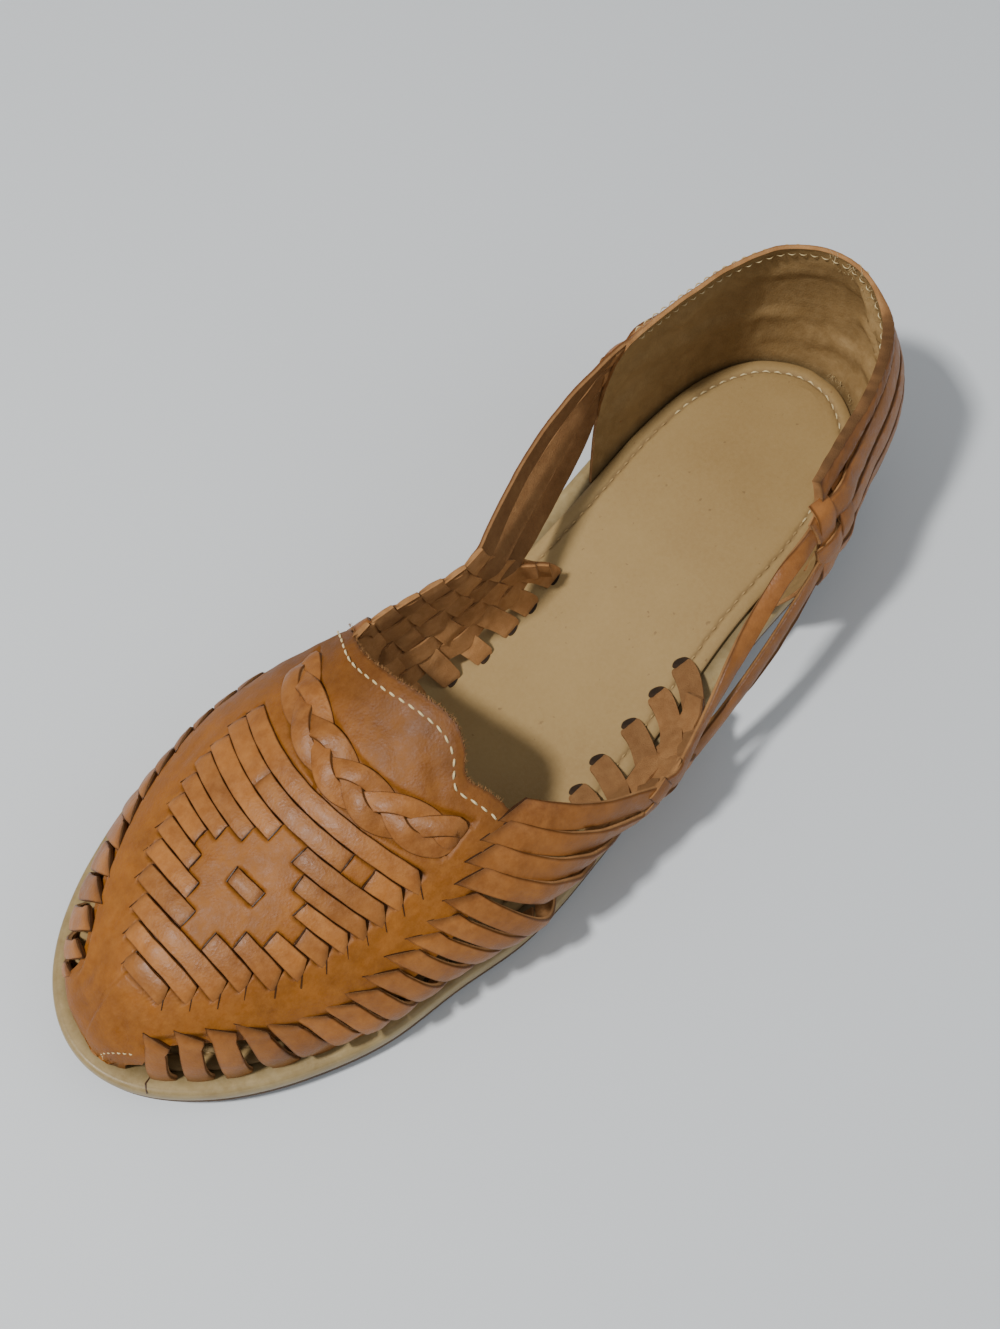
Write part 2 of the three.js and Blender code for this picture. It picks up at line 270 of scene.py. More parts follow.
# one piece: a bmesh with a colour layer; red darkens edges, partly the leather's own darker cut edge and
# partly painted shade where straps meet; green darkens with painted shade at ends, backs, slits and
# recesses, and on some parts with darker leather; blue is the strap's own tone
class Piece:
    def __init__(self, name):
        self.name = name
        self.mesh = bmesh.new()
        self.layer = self.mesh.verts.layers.float_color.new("tone")

    def vert(self, p, tone=(0, 0, 0.5, 0)):
        v = self.mesh.verts.new(metres(p))
        v[self.layer] = tone
        return v

    def tube(self, rings):
        self.grid(rings, closeCols=True)
        self.cap(rings[0], flip=True)
        self.cap(rings[-1])

    def grid(self, rows, closeCols=False, flip=False, slot=0):
        for a, b in zip(rows, rows[1:]):
            size = len(a)
            for j in range(size if closeCols else size - 1):
                k = (j + 1) % size
                quad = [a[j], b[j], b[k], a[k]]
                if flip:
                    quad.reverse()
                if len(set(quad)) == 4:
                    face = self.mesh.faces.new(quad)
                    face.smooth = True
                    face.material_index = slot

    def cap(self, loop, flip=False, slot=0):
        face = self.mesh.faces.new(list(reversed(loop)) if flip else loop)
        face.material_index = slot

    def finish(self, materials, slotName, nodes=(), sharp=50):
        bmesh.ops.remove_doubles(self.mesh, verts=self.mesh.verts, dist=0.000002)
        bmesh.ops.recalc_face_normals(self.mesh, faces=self.mesh.faces)
        data = bpy.data.meshes.new(self.name)
        self.mesh.to_mesh(data)
        self.mesh.free()
        piece = bpy.data.objects.new(self.name, data)
        bpy.context.collection.objects.link(piece)
        for material in materials:
            data.materials.append(material)
        data.set_sharp_from_angle(angle=math.radians(sharp))
        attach(piece, "root")
        if nodes:
            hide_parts(*nodes)
        print("piece", self.name, len(data.vertices))
        return piece


# a list for each value that spot gives along a line, for t from 0 to 1
def trace(steps, spot):
    return [list(values) for values in zip(*(spot(i / steps) for i in range(steps + 1)))]


# a leather strap swept along points with surface normals; skew slants an end, the ends get painted shade and
# the back-shade list paints shade on the back
strapCut = {
    "across": [-1, -0.93, -0.6, -0.2, 0.2, 0.6, 0.93, 1], "under": [0.97, 0.3, -0.3, -0.97],
    "slant": 7, "rounded": 0.35, "uneven": 0.12,
}


def strap(piece, centres, normals, widths, thick=1.4, crown=0.3, skewStart=0.0, skewEnd=0.0,
          tone=0.5, backTone=0.5, roll=0.0, shadeEnds=(1, 1), shadeReach=2.2, paintedBackShade=None):
    count = len(centres)
    travelled = [0.0]
    for i in range(1, count):
        travelled.append(travelled[-1] + (centres[i] - centres[i - 1]).length)
    total = travelled[-1]
    rings = []
    for i in range(count):
        a, b = centres[max(0, i - 1)], centres[min(count - 1, i + 1)]
        along = (b - a).normalized()
        normal = (normals[i] - along * normals[i].dot(along)).normalized()
        if roll:
            normal = Matrix.Rotation(roll if isinstance(roll, float) else roll[i], 3, along) @ normal
        side = along.cross(normal).normalized()
        half = widths[i] / 2
        # painted shade at the ends, where the strap goes into a slit or under another part
        fromStart, fromEnd = travelled[i], total - travelled[i]
        shade = max(shadeEnds[0] * (1 - smooth(fromStart / shadeReach)),
                    shadeEnds[1] * (1 - smooth(fromEnd / shadeReach)))
        slant = (skewStart * (1 - smooth(fromStart / strapCut["slant"]))
                 - skewEnd * (1 - smooth(fromEnd / strapCut["slant"])))
        ring = []
        for k in strapCut["across"]:
            lift = thick + crown * (1 - k * k) - (strapCut["rounded"] if abs(k) > 0.95 else 0)
            wobble = strapCut["uneven"] * rough(centres[i].x + k * 3, centres[i].y, centres[i].z, 3.0)
            p = centres[i] + side * (k * half) + along * (-k * slant) + normal * (lift + wobble)
            # red darkens the edges: partly the darker cut edge, partly painted shade between neighbouring
            # straps
            ring.append(piece.vert(p, (abs(k) ** 3, shade, tone, travelled[i] / 50)))
        # the back gets painted shade, most of all on the slings' backs that lie in shadow
        backShade = max(0.6 * shade, paintedBackShade[i] if paintedBackShade else 0)
        for k in strapCut["under"]:
            p = centres[i] + side * (k * half) + along * (-k * slant)
            ring.append(piece.vert(p, (0.3, backShade, backTone, travelled[i] / 50)))
        rings.append(ring)
    piece.grid([r[:8] for r in rings])
    piece.grid([r[7:] + r[:1] for r in rings], slot=1)
    piece.cap(rings[0], flip=True, slot=1)
    piece.cap(rings[-1], slot=1)


print("stage: materials")


# one procedural finish: place is the object's own space, parts are the tone layer's three numbers
class Finish:
    def __init__(self, name):
        self.material = bpy.data.materials.new(name)
        self.material.use_nodes = True
        self.nodes, self.links = self.material.node_tree.nodes, self.material.node_tree.links
        self.shader = self.nodes["Principled BSDF"]
        self.place = self.nodes.new("ShaderNodeTexCoord").outputs["Object"]

    def feed(self, socket, value):
        if isinstance(value, tuple):
            socket.default_value = (*value, 1)
        elif isinstance(value, (int, float)):
            socket.default_value = value
        else:
            self.links.new(value, socket)

    def feedAll(self, node, **values):
        for key, value in values.items():
            self.feed(node.inputs[key.replace("_", " ")], value)

    def toneParts(self):
        tone = self.nodes.new("ShaderNodeAttribute")
        tone.attribute_name = "tone"
        parts = self.nodes.new("ShaderNodeSeparateColor")
        self.links.new(tone.outputs["Color"], parts.inputs[0])
        return parts.outputs

    def mix(self, factor, a, b):
        node = self.nodes.new("ShaderNodeMix")
        node.data_type = "RGBA"
        for socket, value in ((node.inputs[0], factor), (node.inputs[6], a), (node.inputs[7], b)):
            self.feed(socket, value)
        return node.outputs[2]

    def noise(self, scale, detail, roughness):
        node = self.nodes.new("ShaderNodeTexNoise")
        self.feedAll(node, Scale=scale, Detail=detail, Roughness=roughness, Vector=self.place)
        return node.outputs["Fac"]

    def ramp(self, value, low, high):
        node = self.nodes.new("ShaderNodeValToRGB")
        self.links.new(value, node.inputs[0])
        for element, place, level in zip(node.color_ramp.elements, (low, high), (0.0, 1.0)):
            element.position = place
            element.color = (level, level, level, 1)
        return node.outputs[0]

    def math(self, kind, a, b):
        node = self.nodes.new("ShaderNodeMath")
        node.operation = kind
        self.feed(node.inputs[0], a)
        self.feed(node.inputs[1], b)
        return node.outputs[0]

    def mapTo(self, value, low, high):
        node = self.nodes.new("ShaderNodeMapRange")
        self.feedAll(node, To_Min=low, To_Max=high, Value=value)
        return node.outputs[0]

    # patches of another colour, as strong as amount where the noise is high
    def blotch(self, colour, other, amount, scale, detail, roughness, low, high):
        spread = self.ramp(self.noise(scale, detail, roughness), low, high)
        return self.mix(self.math("MULTIPLY", spread, amount), colour, other)

    def bump(self, height, strength, distance):
        node = self.nodes.new("ShaderNodeBump")
        self.feedAll(node, Strength=strength, Distance=distance, Height=height)
        self.links.new(node.outputs[0], self.shader.inputs["Normal"])


def leather(name, base, deep, light, gloss, coat, bump, pores, fibre):
    finish = Finish(name)
    parts = finish.toneParts()
    base, deep, light = linear(*base), linear(*deep), linear(*light)
    colour = finish.blotch(base, deep, 0.6, 70, 5, 0.6, 0.35, 0.68)
    mottle = finish.ramp(finish.noise(420, 6, 0.7), 0.38, 0.66)
    colour = finish.mix(finish.math("MULTIPLY", mottle, 0.4), colour, light)
    colour = finish.blotch(colour, deep, 0.28, 190, 3, 0.5, 0.4, 0.7)
    hue = finish.nodes.new("ShaderNodeHueSaturation")
    finish.links.new(finish.mapTo(parts[2], 0.8, 1.18), hue.inputs["Value"])
    finish.links.new(colour, hue.inputs["Color"])
    # red darkens the edges toward the deep colour: partly the leather's darker cut edge, partly painted
    # shade between straps; green paints shade toward near black
    edgeDark = finish.math("MULTIPLY", finish.ramp(parts[0], 0.62, 0.98), 0.72)
    colour = finish.mix(edgeDark, hue.outputs[0], tuple(c * 0.3 for c in deep))
    shade = finish.math("MULTIPLY", parts[1], 0.75)
    colour = finish.mix(shade, colour, tuple(c * 0.16 for c in deep))
    finish.feedAll(finish.shader, Base_Color=colour, Roughness=finish.mapTo(mottle, *gloss),
                   Coat_Weight=coat, Coat_Roughness=0.28, Specular_IOR_Level=0.25)
    grain = finish.nodes.new("ShaderNodeTexVoronoi")
    grain.inputs["Scale"].default_value = pores
    finish.links.new(finish.place, grain.inputs["Vector"])
    wrinkle = finish.math("MULTIPLY", finish.noise(2600 if fibre else 900, 6, 0.75), 0.9 + fibre)
    height = finish.math("ADD", finish.math("MULTIPLY", grain.outputs["Distance"], 0.5), wrinkle)
    height = finish.math("ADD", height, finish.math("MULTIPLY", finish.noise(260, 3, 0.5), 1.6))
    finish.bump(height, bump, 0.0004)
    return finish.material


def linear(*colour):
    parts = [c / 255 for c in colour]
    return tuple(c / 12.92 if c <= 0.04045 else ((c + 0.055) / 1.055) ** 2.4 for c in parts)


hides = {row["name"]: leather(**row) for row in table(
    "name base deep light gloss coat bump pores fibre",
    ("vampLeather", (136, 81, 23), (99, 56, 12), (156, 102, 39), (0.44, 0.62), 0.0, 0.25, 1400, 0),
    ("strapLeather", (147, 93, 41), (102, 58, 23), (167, 113, 58), (0.36, 0.56), 0.02, 0.25, 1400, 0),
    ("suedeBack", (172, 124, 76), (128, 86, 48), (200, 154, 104), (0.8, 0.95), 0.0, 0.55, 2400, 1.2),
    ("counterLining", (144, 117, 76), (112, 88, 54), (170, 144, 102), (0.5, 0.68), 0.0, 0.3, 1800, 0),
    ("footbedWrap", (156, 136, 94), (122, 102, 66), (176, 158, 118), (0.36, 0.5), 0.05, 0.12, 2600, 0),
    ("outsoleRubber", (92, 70, 50), (58, 44, 34), (120, 96, 70), (0.6, 0.8), 0.0, 0.4, 1600, 0),
    ("heelRubber", (44, 38, 34), (30, 26, 24), (62, 54, 48), (0.55, 0.75), 0.0, 0.3, 1600, 0),
    ("threadCream", (214, 196, 150), (180, 156, 108), (228, 214, 176), (0.6, 0.8), 0.0, 0.4, 3000, 0),
    ("threadTan", (168, 140, 94), (130, 104, 64), (190, 164, 118), (0.6, 0.8), 0.0, 0.4, 3000, 0),
    ("holeShade", (62, 46, 32), (40, 29, 20), (84, 64, 44), (0.85, 0.95), 0.0, 0.3, 2400, 0),
)}
faceAndBack = [hides["strapLeather"], hides["suedeBack"]]


def boardMaterial():
    finish = Finish("insoleBoard")
    parts = finish.toneParts()
    colour = finish.blotch(linear(153, 127, 80), linear(136, 108, 63), 0.55, 30, 4, 0.6, 0.35, 0.7)
    colour = finish.blotch(colour, linear(168, 144, 100), 0.25, 900, 5, 0.7, 0.35, 0.7)
    colour = finish.blotch(colour, linear(104, 76, 46), 0.5, 620, 2, 0.4, 0.72, 0.78)
    # green paints shade at the sock's edge and in its seam groove
    colour = finish.mix(finish.math("MULTIPLY", parts[1], 0.8), colour, linear(88, 66, 42))
    finish.feedAll(finish.shader, Base_Color=colour, Roughness=0.72)
    finish.bump(finish.noise(1400, 4, 0.7), 0.15, 0.0003)
    return finish.material


insoleBoard = boardMaterial()

print("stage: sole")


def soleTurns(fromX, toX, steps):
    t0, t1 = turnOf(fromX), turnOf(toX)
    half = [t0 + (t1 - t0) * (i + 0.5) / steps for i in range(steps)]
    return half + [2 * math.pi - t for t in reversed(half)]


def ringPiece(name, rings, material, slotName, nodes, turns):
    piece = Piece(name)
    rows = []
    for inset, heightAt, tone in rings:
        row = []
        for turn in turns:
            x, y = insetPoint(turn, inset)
            row.append(piece.vert((x, y, heightAt(x)), tone))
        rows.append(row)
    piece.grid(rows, closeCols=True)
    count = len(turns)
    for row in (rows[0], rows[-1]):
        for i in range(count // 2 - 1):
            face = piece.mesh.faces.new([row[i], row[i + 1], row[count - 2 - i], row[count - 1 - i]])
            face.smooth = True
    return piece.finish([material], slotName, nodes)


def footbedLow(x):
    return underAt(x) + form["outsole"] + 0.3


# rings of a sole piece are an inset from the edge, a height at each station and a tone
def footbedRings():
    rings = []
    for k in range(11):
        a = math.pi * k / 10
        bulge = 0.1 + 1.5 * (1 - math.sin(a) ** 0.7)
        share = (1 - math.cos(a)) / 2
        # the bead is darker near its top and bottom
        edgeDark = 0.2 if 2 < k < 8 else 0.7
        rings.append((bulge, lambda x, s=share: lerp(footbedLow(x), seatAt(x), s), (edgeDark, 0, 0.5, 0)))
    # the two inner rings at the foot of the wall get painted shade
    rings.append((4.6, lambda x: seatAt(x) + 0.1, (0, 0.5, 0.5, 0)))
    rings.append((5.6, lambda x: seatAt(x) - 0.1, (0, 0.6, 0.5, 0)))
    return rings


allTurns = soleTurns(0, form["length"], 150)
ringPiece("footbedRim", footbedRings(), hides["footbedWrap"], "footbed_wrap", ["footbed"], allTurns)
ringPiece("outsoleSheet", [
    (1.5, underAt, (0, 0, 0.4, 0)),
    (0.8, lambda x: underAt(x) + 0.5, (0.5, 0, 0.4, 0)),
    (0.6, lambda x: underAt(x) + 1.3, (0.2, 0, 0.5, 0)),
    (0.9, lambda x: underAt(x) + 1.5, (1, 0, 0.4, 0)),
    (0.5, lambda x: underAt(x) + 1.7, (0.2, 0, 0.6, 0)),
    (0.6, lambda x: underAt(x) + 2.7, (0.6, 0, 0.6, 0)),
], hides["outsoleRubber"], "outsole_rubber", ["outsole"], allTurns)
ringPiece("heelLift", [
    (3.2, lambda x: 0.0, (0.6, 0, 0.5, 0)),
    (2.6, lambda x: 0.8, (0.2, 0, 0.5, 0)),
    (1.8, lambda x: 0.5 * (underAt(x) - 0.3), (0, 0, 0.5, 0)),
    (1.0, lambda x: underAt(x) - 0.3, (0.4, 0, 0.5, 0)),
], hides["heelRubber"], "heel_rubber", ["heel_block"], soleTurns(0, form["heelFront"], 60))

print("stage: insole")

insole = {"inset": 5.9, "seam": 9.6, "thick": 1.6, "palestX": 45, "pitch": 3.1}


def insoleTop(x):
    return seatAt(x) + 0.3 + insole["thick"]


def insolePiece():
    piece = Piece("insoleSock")
    turns = soleTurns(0.4, form["length"] - 0.4, 170)
    edge, seam = insole["inset"], insole["seam"]
    rings = [(edge, -insole["thick"], 0.5), (edge, -0.4, 0.5), (edge + 0.5, 0, 0.1),
             (seam - 0.9, 0.12, 0), (seam, -0.35, 0.55), (seam + 0.9, 0.1, 0), (seam + 2.4, 0.0, 0)]
    rows = []
    for inset, rise, shade in rings:
        row = []
        for n, turn in enumerate(turns):
            scallop = 0.16 * math.sin(n * 1.9) if 8 < inset < 12 else 0
            x, y = insetPoint(turn, inset + scallop)
            row.append(piece.vert((x, y, insoleTop(x) + rise), (0, shade, 0.5, 0)))
        rows.append(row)
    piece.grid(rows, closeCols=True)
    count = len(turns)
    inner = rows[-1]
    half = count // 2
    columns = []
    for i in range(half):
        a, b = inner[i], inner[count - 1 - i]
        line = [a]
        for k in range(1, 14):
            s = k / 14
            co = a.co.lerp(b.co, s)
            x, y = co.x * 1000 - originX, co.y * 1000
            dip = 0.35 * rough(x, y, 0, 26)
            line.append(piece.vert((x, y, co.z * 1000 + dip * 4 * s * (1 - s)), (0, 0, 0.5, 0)))
        line.append(b)
        columns.append(line)
    piece.grid(columns)
    base = rows[0]
    for i in range(half - 1):
        piece.mesh.faces.new([base[i], base[i + 1], base[count - 2 - i], base[count - 1 - i]])
    return piece.finish([insoleBoard], "insole_board", ["insole"])


insolePiece()


# thread as small capsules along a line of points
def stitchLine(piece, points, normals, size=0.34, fill=0.72, pitch=3.0, bury=0.25):
    lengths = [0.0]
    for i in range(1, len(points)):
        lengths.append(lengths[-1] + (points[i] - points[i - 1]).length)

    def at(s):
        s = min(lengths[-1], max(0.0, s))
        for i in range(1, len(points)):
            if s <= lengths[i]:
                t = (s - lengths[i - 1]) / max(1e-6, lengths[i] - lengths[i - 1])
                return points[i - 1].lerp(points[i], t), normals[i - 1].lerp(normals[i], t).normalized()
        return points[-1], normals[-1]

    count = int(lengths[-1] / pitch)
    for n in range(count):
        rings = []
        for k in range(7):
            u = k / 6
            p, normal = at((n + 0.5 - fill / 2 + fill * u) * pitch)
            q, _ = at((n + 0.5 - fill / 2 + fill * u) * pitch + 0.3)
            along = (q - p).normalized() if (q - p).length > 1e-6 else Vector((1, 0, 0))
            side = along.cross(normal).normalized()
            arch = math.sin(math.pi * u)
            radius = size * (0.45 + 0.55 * arch)
            centre = p + normal * (-bury + (size + bury) * arch) + side * (0.25 * (u - 0.5))
            ring = [side * (radius * math.cos(a)) + normal * (radius * 0.8 * math.sin(a))
                    for a in (j * math.pi / 3 for j in range(6))]
            # the thread gets painted shade toward each end, where it dips into the leather
            rings.append([piece.vert(centre + offset, (0, 0.5 * (1 - arch), 0.5, 0)) for offset in ring])
        piece.tube(rings)


# pale thread round the heel, tan thread along the sides and the front
def insoleStitches():
    points = []
    for i in range(361):
        x, y = insetPoint(2 * math.pi * i / 360, insole["seam"])
        points.append(Vector((x, y, insoleTop(x) - 0.2)))
    up = [Vector((0, 0, 1))] * len(points)
    pale, tan = Piece("insoleStitch"), Piece("insoleStitchFront")
    for side in (1, -1):
        run = sorted([p for p in points if p.x < insole["palestX"] and side * p.y >= 0], key=lambda p: p.x)
        stitchLine(pale, run, up, size=0.26, fill=0.7, pitch=insole["pitch"], bury=0.2)
    front = [p for p in points if p.x > insole["palestX"] - 2]
    stitchLine(tan, front, up, size=0.24, fill=0.66, pitch=insole["pitch"], bury=0.22)
    pale.finish([hides["threadCream"]], "thread")
    tan.finish([hides["threadTan"]], "thread")


insoleStitches()

print("stage: vamp")

# weave of the vamp in plan: each strip's medial end, crown line and lateral end, and where it lies on top
stripRows = table(
    "medX medY crown latX latY over",
    (182.3, -26.5, 189.8, 185, 27.5, [(-26.5, 27.5)]),
    (186.8, -28, 194.4, 190.2, 27, [(-28, -12.4), (-12, 14.1), (19.6, 27)]),
    (192.5, -27.7, 199.6, 195.3, 26.5, [(-27.7, -1.6), (5.7, 26.5)]),
    (198, -28, 204, 200.2, 25.6, [(-28, -5.9), (9.4, 25.6)]),
    (203, -26.7, 208, 204.5, 24.5, [(-26.7, -10.6), (13.3, 24.5)]),
    (208.2, -25.2, 212, 209.8, 23.2, [(-25.2, -13.7), (-2.2, 5.5), (16.9, 23.2)]),
    (214, -23, 216.1, 214.8, 21.3, [(-23, -10.5), (12.8, 21.3)]),
    (218.9, -21, 220.4, 220.8, 18.8, [(-21, -6.4), (8.4, 18.8)]),
    (224.3, -18, 225.1, 225.3, 14.8, [(-18, -2.8), (3.8, 14.8)]),
    (229.6, -14, 230.3, 230.5, 12, [(-14, 12)]), (234.5, -11, 235.1, 235.6, 8.2, [(-11, 8.2)]),
    (238.9, -6.8, 239.3, 239.4, 3.9, [(-6.8, 3.9)]),
)
# cut edge of the shield under the side straps, its opening edge and its front end
shieldRows = table(
    "x med lat",
    (150, -25, 34), (160, -31, 35.5), (172, -38, 38), (186, -41, 39), (200, -40, 37.5),
    (212, -36.5, 34), (224, -31, 28), (236, -24.5, 19), (245, -18.5, 11), (249, -17.5, 8.0),
    (252, -19.5, 7.2), (258, -20, 3.0),
)
throatRows = table(
    "y x",
    (-40, 150), (-30, 151.5), (-25, 153.5), (-16, 158), (-6, 158.6), (4, 157.4), (11, 157), (16, 158.8),
    (20.5, 163), (25.5, 162), (30, 161), (36, 161),
)
frontRows = table(
    "y x",
    (-20, 251), (-14, 254.9), (-7.7, 256.8), (-1.4, 257.6), (1.6, 255.9), (4.4, 253.7), (7.2, 251.6),
    (12, 250.5),
)
# creases pressed into the shield: from, to, depth and half width
creases = table(
    "a b deep half",
    ((243, -12), (251, -13), 0.5, 1.3), ((246, -3), (250.5, 2), 0.55, 1.0),
    ((243.5, -4), (248.5, -8.5), -0.6, 1.8), ((242, 1.5), (246, 5.5), 0.4, 1.0),
    ((248, -6), (254.5, -10.5), 0.45, 1.4), ((165, -8), (169, 6), 0.35, 2.2),
    ((160, -18), (166.5, -11), 0.4, 1.6), ((165, 12), (170.5, 20), 0.35, 1.8),
    ((214, 25), (222, 20.5), 0.3, 1.4), ((229, -19.5), (239, -14), 0.35, 1.5),
    ((196, 29.5), (207, 28.3), 0.3, 1.4), ((190, -32.5), (203, -31.5), 0.35, 1.5),
)


def throatAt(y):
    return lookUp(throatRows, "y", y, "x")


def shieldEdges(x):
    return lookUp(shieldRows, "x", x, "med"), lookUp(shieldRows, "x", x, "lat")


def stripX(n, y):
    row = stripRows[n]
    end, at = ("medY", "medX") if y < 0 else ("latY", "latX")
    t = min(1.2, y / row[end])
    return lerp(row["crown"], row[at], t * t)


def stripSpan(n, y):
    x = stripX(n, y)
    low = (stripX(n - 1, y) + x) / 2 if n > 0 else x - 2.5
    high = (stripX(n + 1, y) + x) / 2 if n < len(stripRows) - 1 else x + 2.2
    return low, high


def bracket(y, a, b, soft):
    return min(smooth((y - a) / soft + 0.5), smooth((b - y) / soft + 0.5))


def segmentGap(x, y, a, b):
    dx, dy = b[0] - a[0], b[1] - a[1]
    t = min(1.0, max(0.0, ((x - a[0]) * dx + (y - a[1]) * dy) / (dx * dx + dy * dy)))
    return math.hypot(x - a[0] - dx * t, y - a[1] - dy * t), t


# the plait: its line over the vamp, its bed and its strands
braid = {
    "x": 181.4, "bow": 0.0148, "middle": 4, "from": -27.5, "to": 28.0,
    "half": 3.3, "turns": 1.75, "wide": 5.0, "bed": (-27, 28), "bedHalf": 4.6,
}


def braidLine(y):
    return braid["x"] - braid["bow"] * (y - braid["middle"]) ** 2


# rise and shade of the shield: low under a strip that lies on top, a little proud where the strip is under
def reliefAt(x, y):
    lift, shade = 0.0, 0.0
    for n, row in enumerate(stripRows):
        low, high = stripSpan(n, y)
        if not (row["medY"] - 2 <= y <= row["latY"] + 2 and low - 0.4 <= x <= high + 0.4):
            continue
        inside = bracket(x, low, high, 0.8) * bracket(y, row["medY"], row["latY"], 0.8)
        over = max(bracket(y, a, b, 0.6) for a, b in row["over"])
        lift += inside * (0.42 * (1 - over) - 1.0 * over)
        shade = max(shade, inside * over)
    if braid["bed"][0] < y < braid["bed"][1]:
        inBed = 1 - smooth((abs(x - braidLine(y)) - braid["bedHalf"]) / 1.6)
        lift -= 1.0 * inBed
        shade = max(shade, 0.3 * inBed)
    for crease in creases:
        gap, t = segmentGap(x, y, crease["a"], crease["b"])
        if gap < 3 * crease["half"]:
            fade = math.sin(math.pi * (0.15 + 0.7 * t))
            lift -= crease["deep"] * fade * math.exp(-(gap / crease["half"]) ** 2)
    return lift, shade


shield = {
    "long": 170, "wide": 140, "from": 150, "to": 257, "back": 0.15, "tuck": 1.3, "tuckEndX": 247,
    "rimDrop": 0.3, "frontDrop": 0.5, "fuzz": 0.45, "throatX": 160, "throatFade": 22,
}


# place in plan and width there: u goes from the throat to the toe, v from the medial to the lateral edge
def shieldPlace(u, v):
    xBase = lerp(shield["from"], shield["to"], u)
    y = lerp(*shieldEdges(xBase), v)
    for _ in range(3):
        x = lerp(throatAt(y), lookUp(frontRows, "y", y, "x"), u)
        med, lat = shieldEdges(x)
        y = lerp(med, lat, v)
    return x, y, lat - med


# outer point, inner point and outer tone
def shieldSpot(u, v, atThroat):
    x, y, span = shieldPlace(u, v)
    fromThroat = x - throatAt(y)
    p, normal = topPoint(x, y)
    lift, shade = reliefAt(x, y)
    fuzz = Vector((shield["fuzz"] * rough(x, y * 2, 3, 1.1) if atThroat else 0, 0, 0))
    margin = min(v, 1 - v) * span
    tuck = shield["tuck"] * (1 - smooth((margin - 1.2) / 2.2)) * (1 - smooth((x - shield["tuckEndX"]) / 3))
    front = 1 - smooth((1 - u) * 100 / 1.5)
    rim = 1 - smooth(fromThroat / 2.4)
    grain = 0.25 * rough(x, y, 0, 9) + 0.12 * rough(x, y, 5, 3)
    out = form["wall"] + lift + grain - tuck - shield["rimDrop"] * rim - shield["frontDrop"] * front
    throat = 1 - smooth((x - shield["throatX"]) / shield["throatFade"])
    pressed = 0.3 * throat * (1 + 0.5 * rough(x, y, 4, 4))
    # green: painted shade where a strip lies on top and in the plait's bed, with darker pressed leather at
    # the throat and at its cut edge
    dark = max(shade * 0.9, pressed, 0.45 * (1 - smooth(fromThroat)))
    tone = (0.85 * max(rim, 0.8 * front), dark, 0.5 - 0.5 * throat, 0)
    return p + normal * out + fuzz, p + normal * shield["back"] + fuzz, tone


def shieldPiece():
    piece = Piece("vampShield")
    long, wide = shield["long"], shield["wide"]
    tops, backs = [], []
    for i in range(long + 1):
        spots = [shieldSpot(i / long, j / wide, i < 2) for j in range(wide + 1)]
        tops.append([piece.vert(top, tone) for top, back, tone in spots])
        backs.append([piece.vert(back, (0.4, 0.3, 0.5, 0)) for top, back, tone in spots])
    piece.grid(tops)
    piece.grid(backs, flip=True, slot=1)
    piece.grid([tops[0], backs[0]], flip=True, slot=1)
    piece.grid([tops[-1], backs[-1]], slot=1)
    piece.grid([[r[0] for r in tops], [r[0] for r in backs]])
    piece.grid([[r[-1] for r in tops], [r[-1] for r in backs]], flip=True)
    return piece.finish([hides["vampLeather"], hides["suedeBack"]], "upper_leather", ["upper"], sharp=70)


shieldPiece()


# a thin dark line of painted shade along points, for slits and splits
def paintedShadeLine(piece, points, normals, half=0.22, rise=0.05):
    rings = []
    for i, (p, normal) in enumerate(zip(points, normals)):
        a, b = points[max(0, i - 1)], points[min(len(points) - 1, i + 1)]
        side = (b - a).cross(normal).normalized()
        size = half * (0.35 + 0.65 * math.sin(math.pi * (i + 0.5) / len(points)))
        rings.append([piece.vert(p + side * (size * s) + normal * (rise + h), (1, 1, 0.3, 0))
                      for s, h in ((-1, -0.3), (-0.6, 0.08), (0.6, 0.08), (1, -0.3))])
    piece.tube(rings)


# the dark lines paint the shade in the slits and in the split at the toe
slitShades = Piece("slitShadeLines")
stripCut = {
    "sunk": 1.15, "bulge": 0.3, "gap": 0.16, "slant": (2.4, 1.2), "tones": (0.15, 0.35, 0.5, 0.6, 0.8),
}


# point, normal and width of strip n between a and b
def stripSpot(n, a, b, t):
    y = lerp(a, b, t)
    low, high = stripSpan(n, y)
    dip = min(smooth((y - a) / 0.9), smooth((b - y) / 0.9))
    p, normal = topPoint((low + high) / 2, y, form["wall"] - stripCut["sunk"] + stripCut["bulge"] * dip)
    slope = math.sqrt(1 + (normal.x / max(0.3, normal.z)) ** 2)
    return p, normal, (high - low - stripCut["gap"]) * slope * (1 + 0.02 * math.sin(y * 0.9 + n))


# the slit at a strip's end
def slitSpot(n, y, skew, outward, t):
    k = -0.98 + 1.96 * t
    py = y + outward * (skew * k + 0.12)
    px = lerp(*stripSpan(n, py), (k + 1) / 2)
    lift = reliefAt(px, py + outward * 0.9)[0]
    return topPoint(px, py, form["wall"] + max(-0.1, lift))


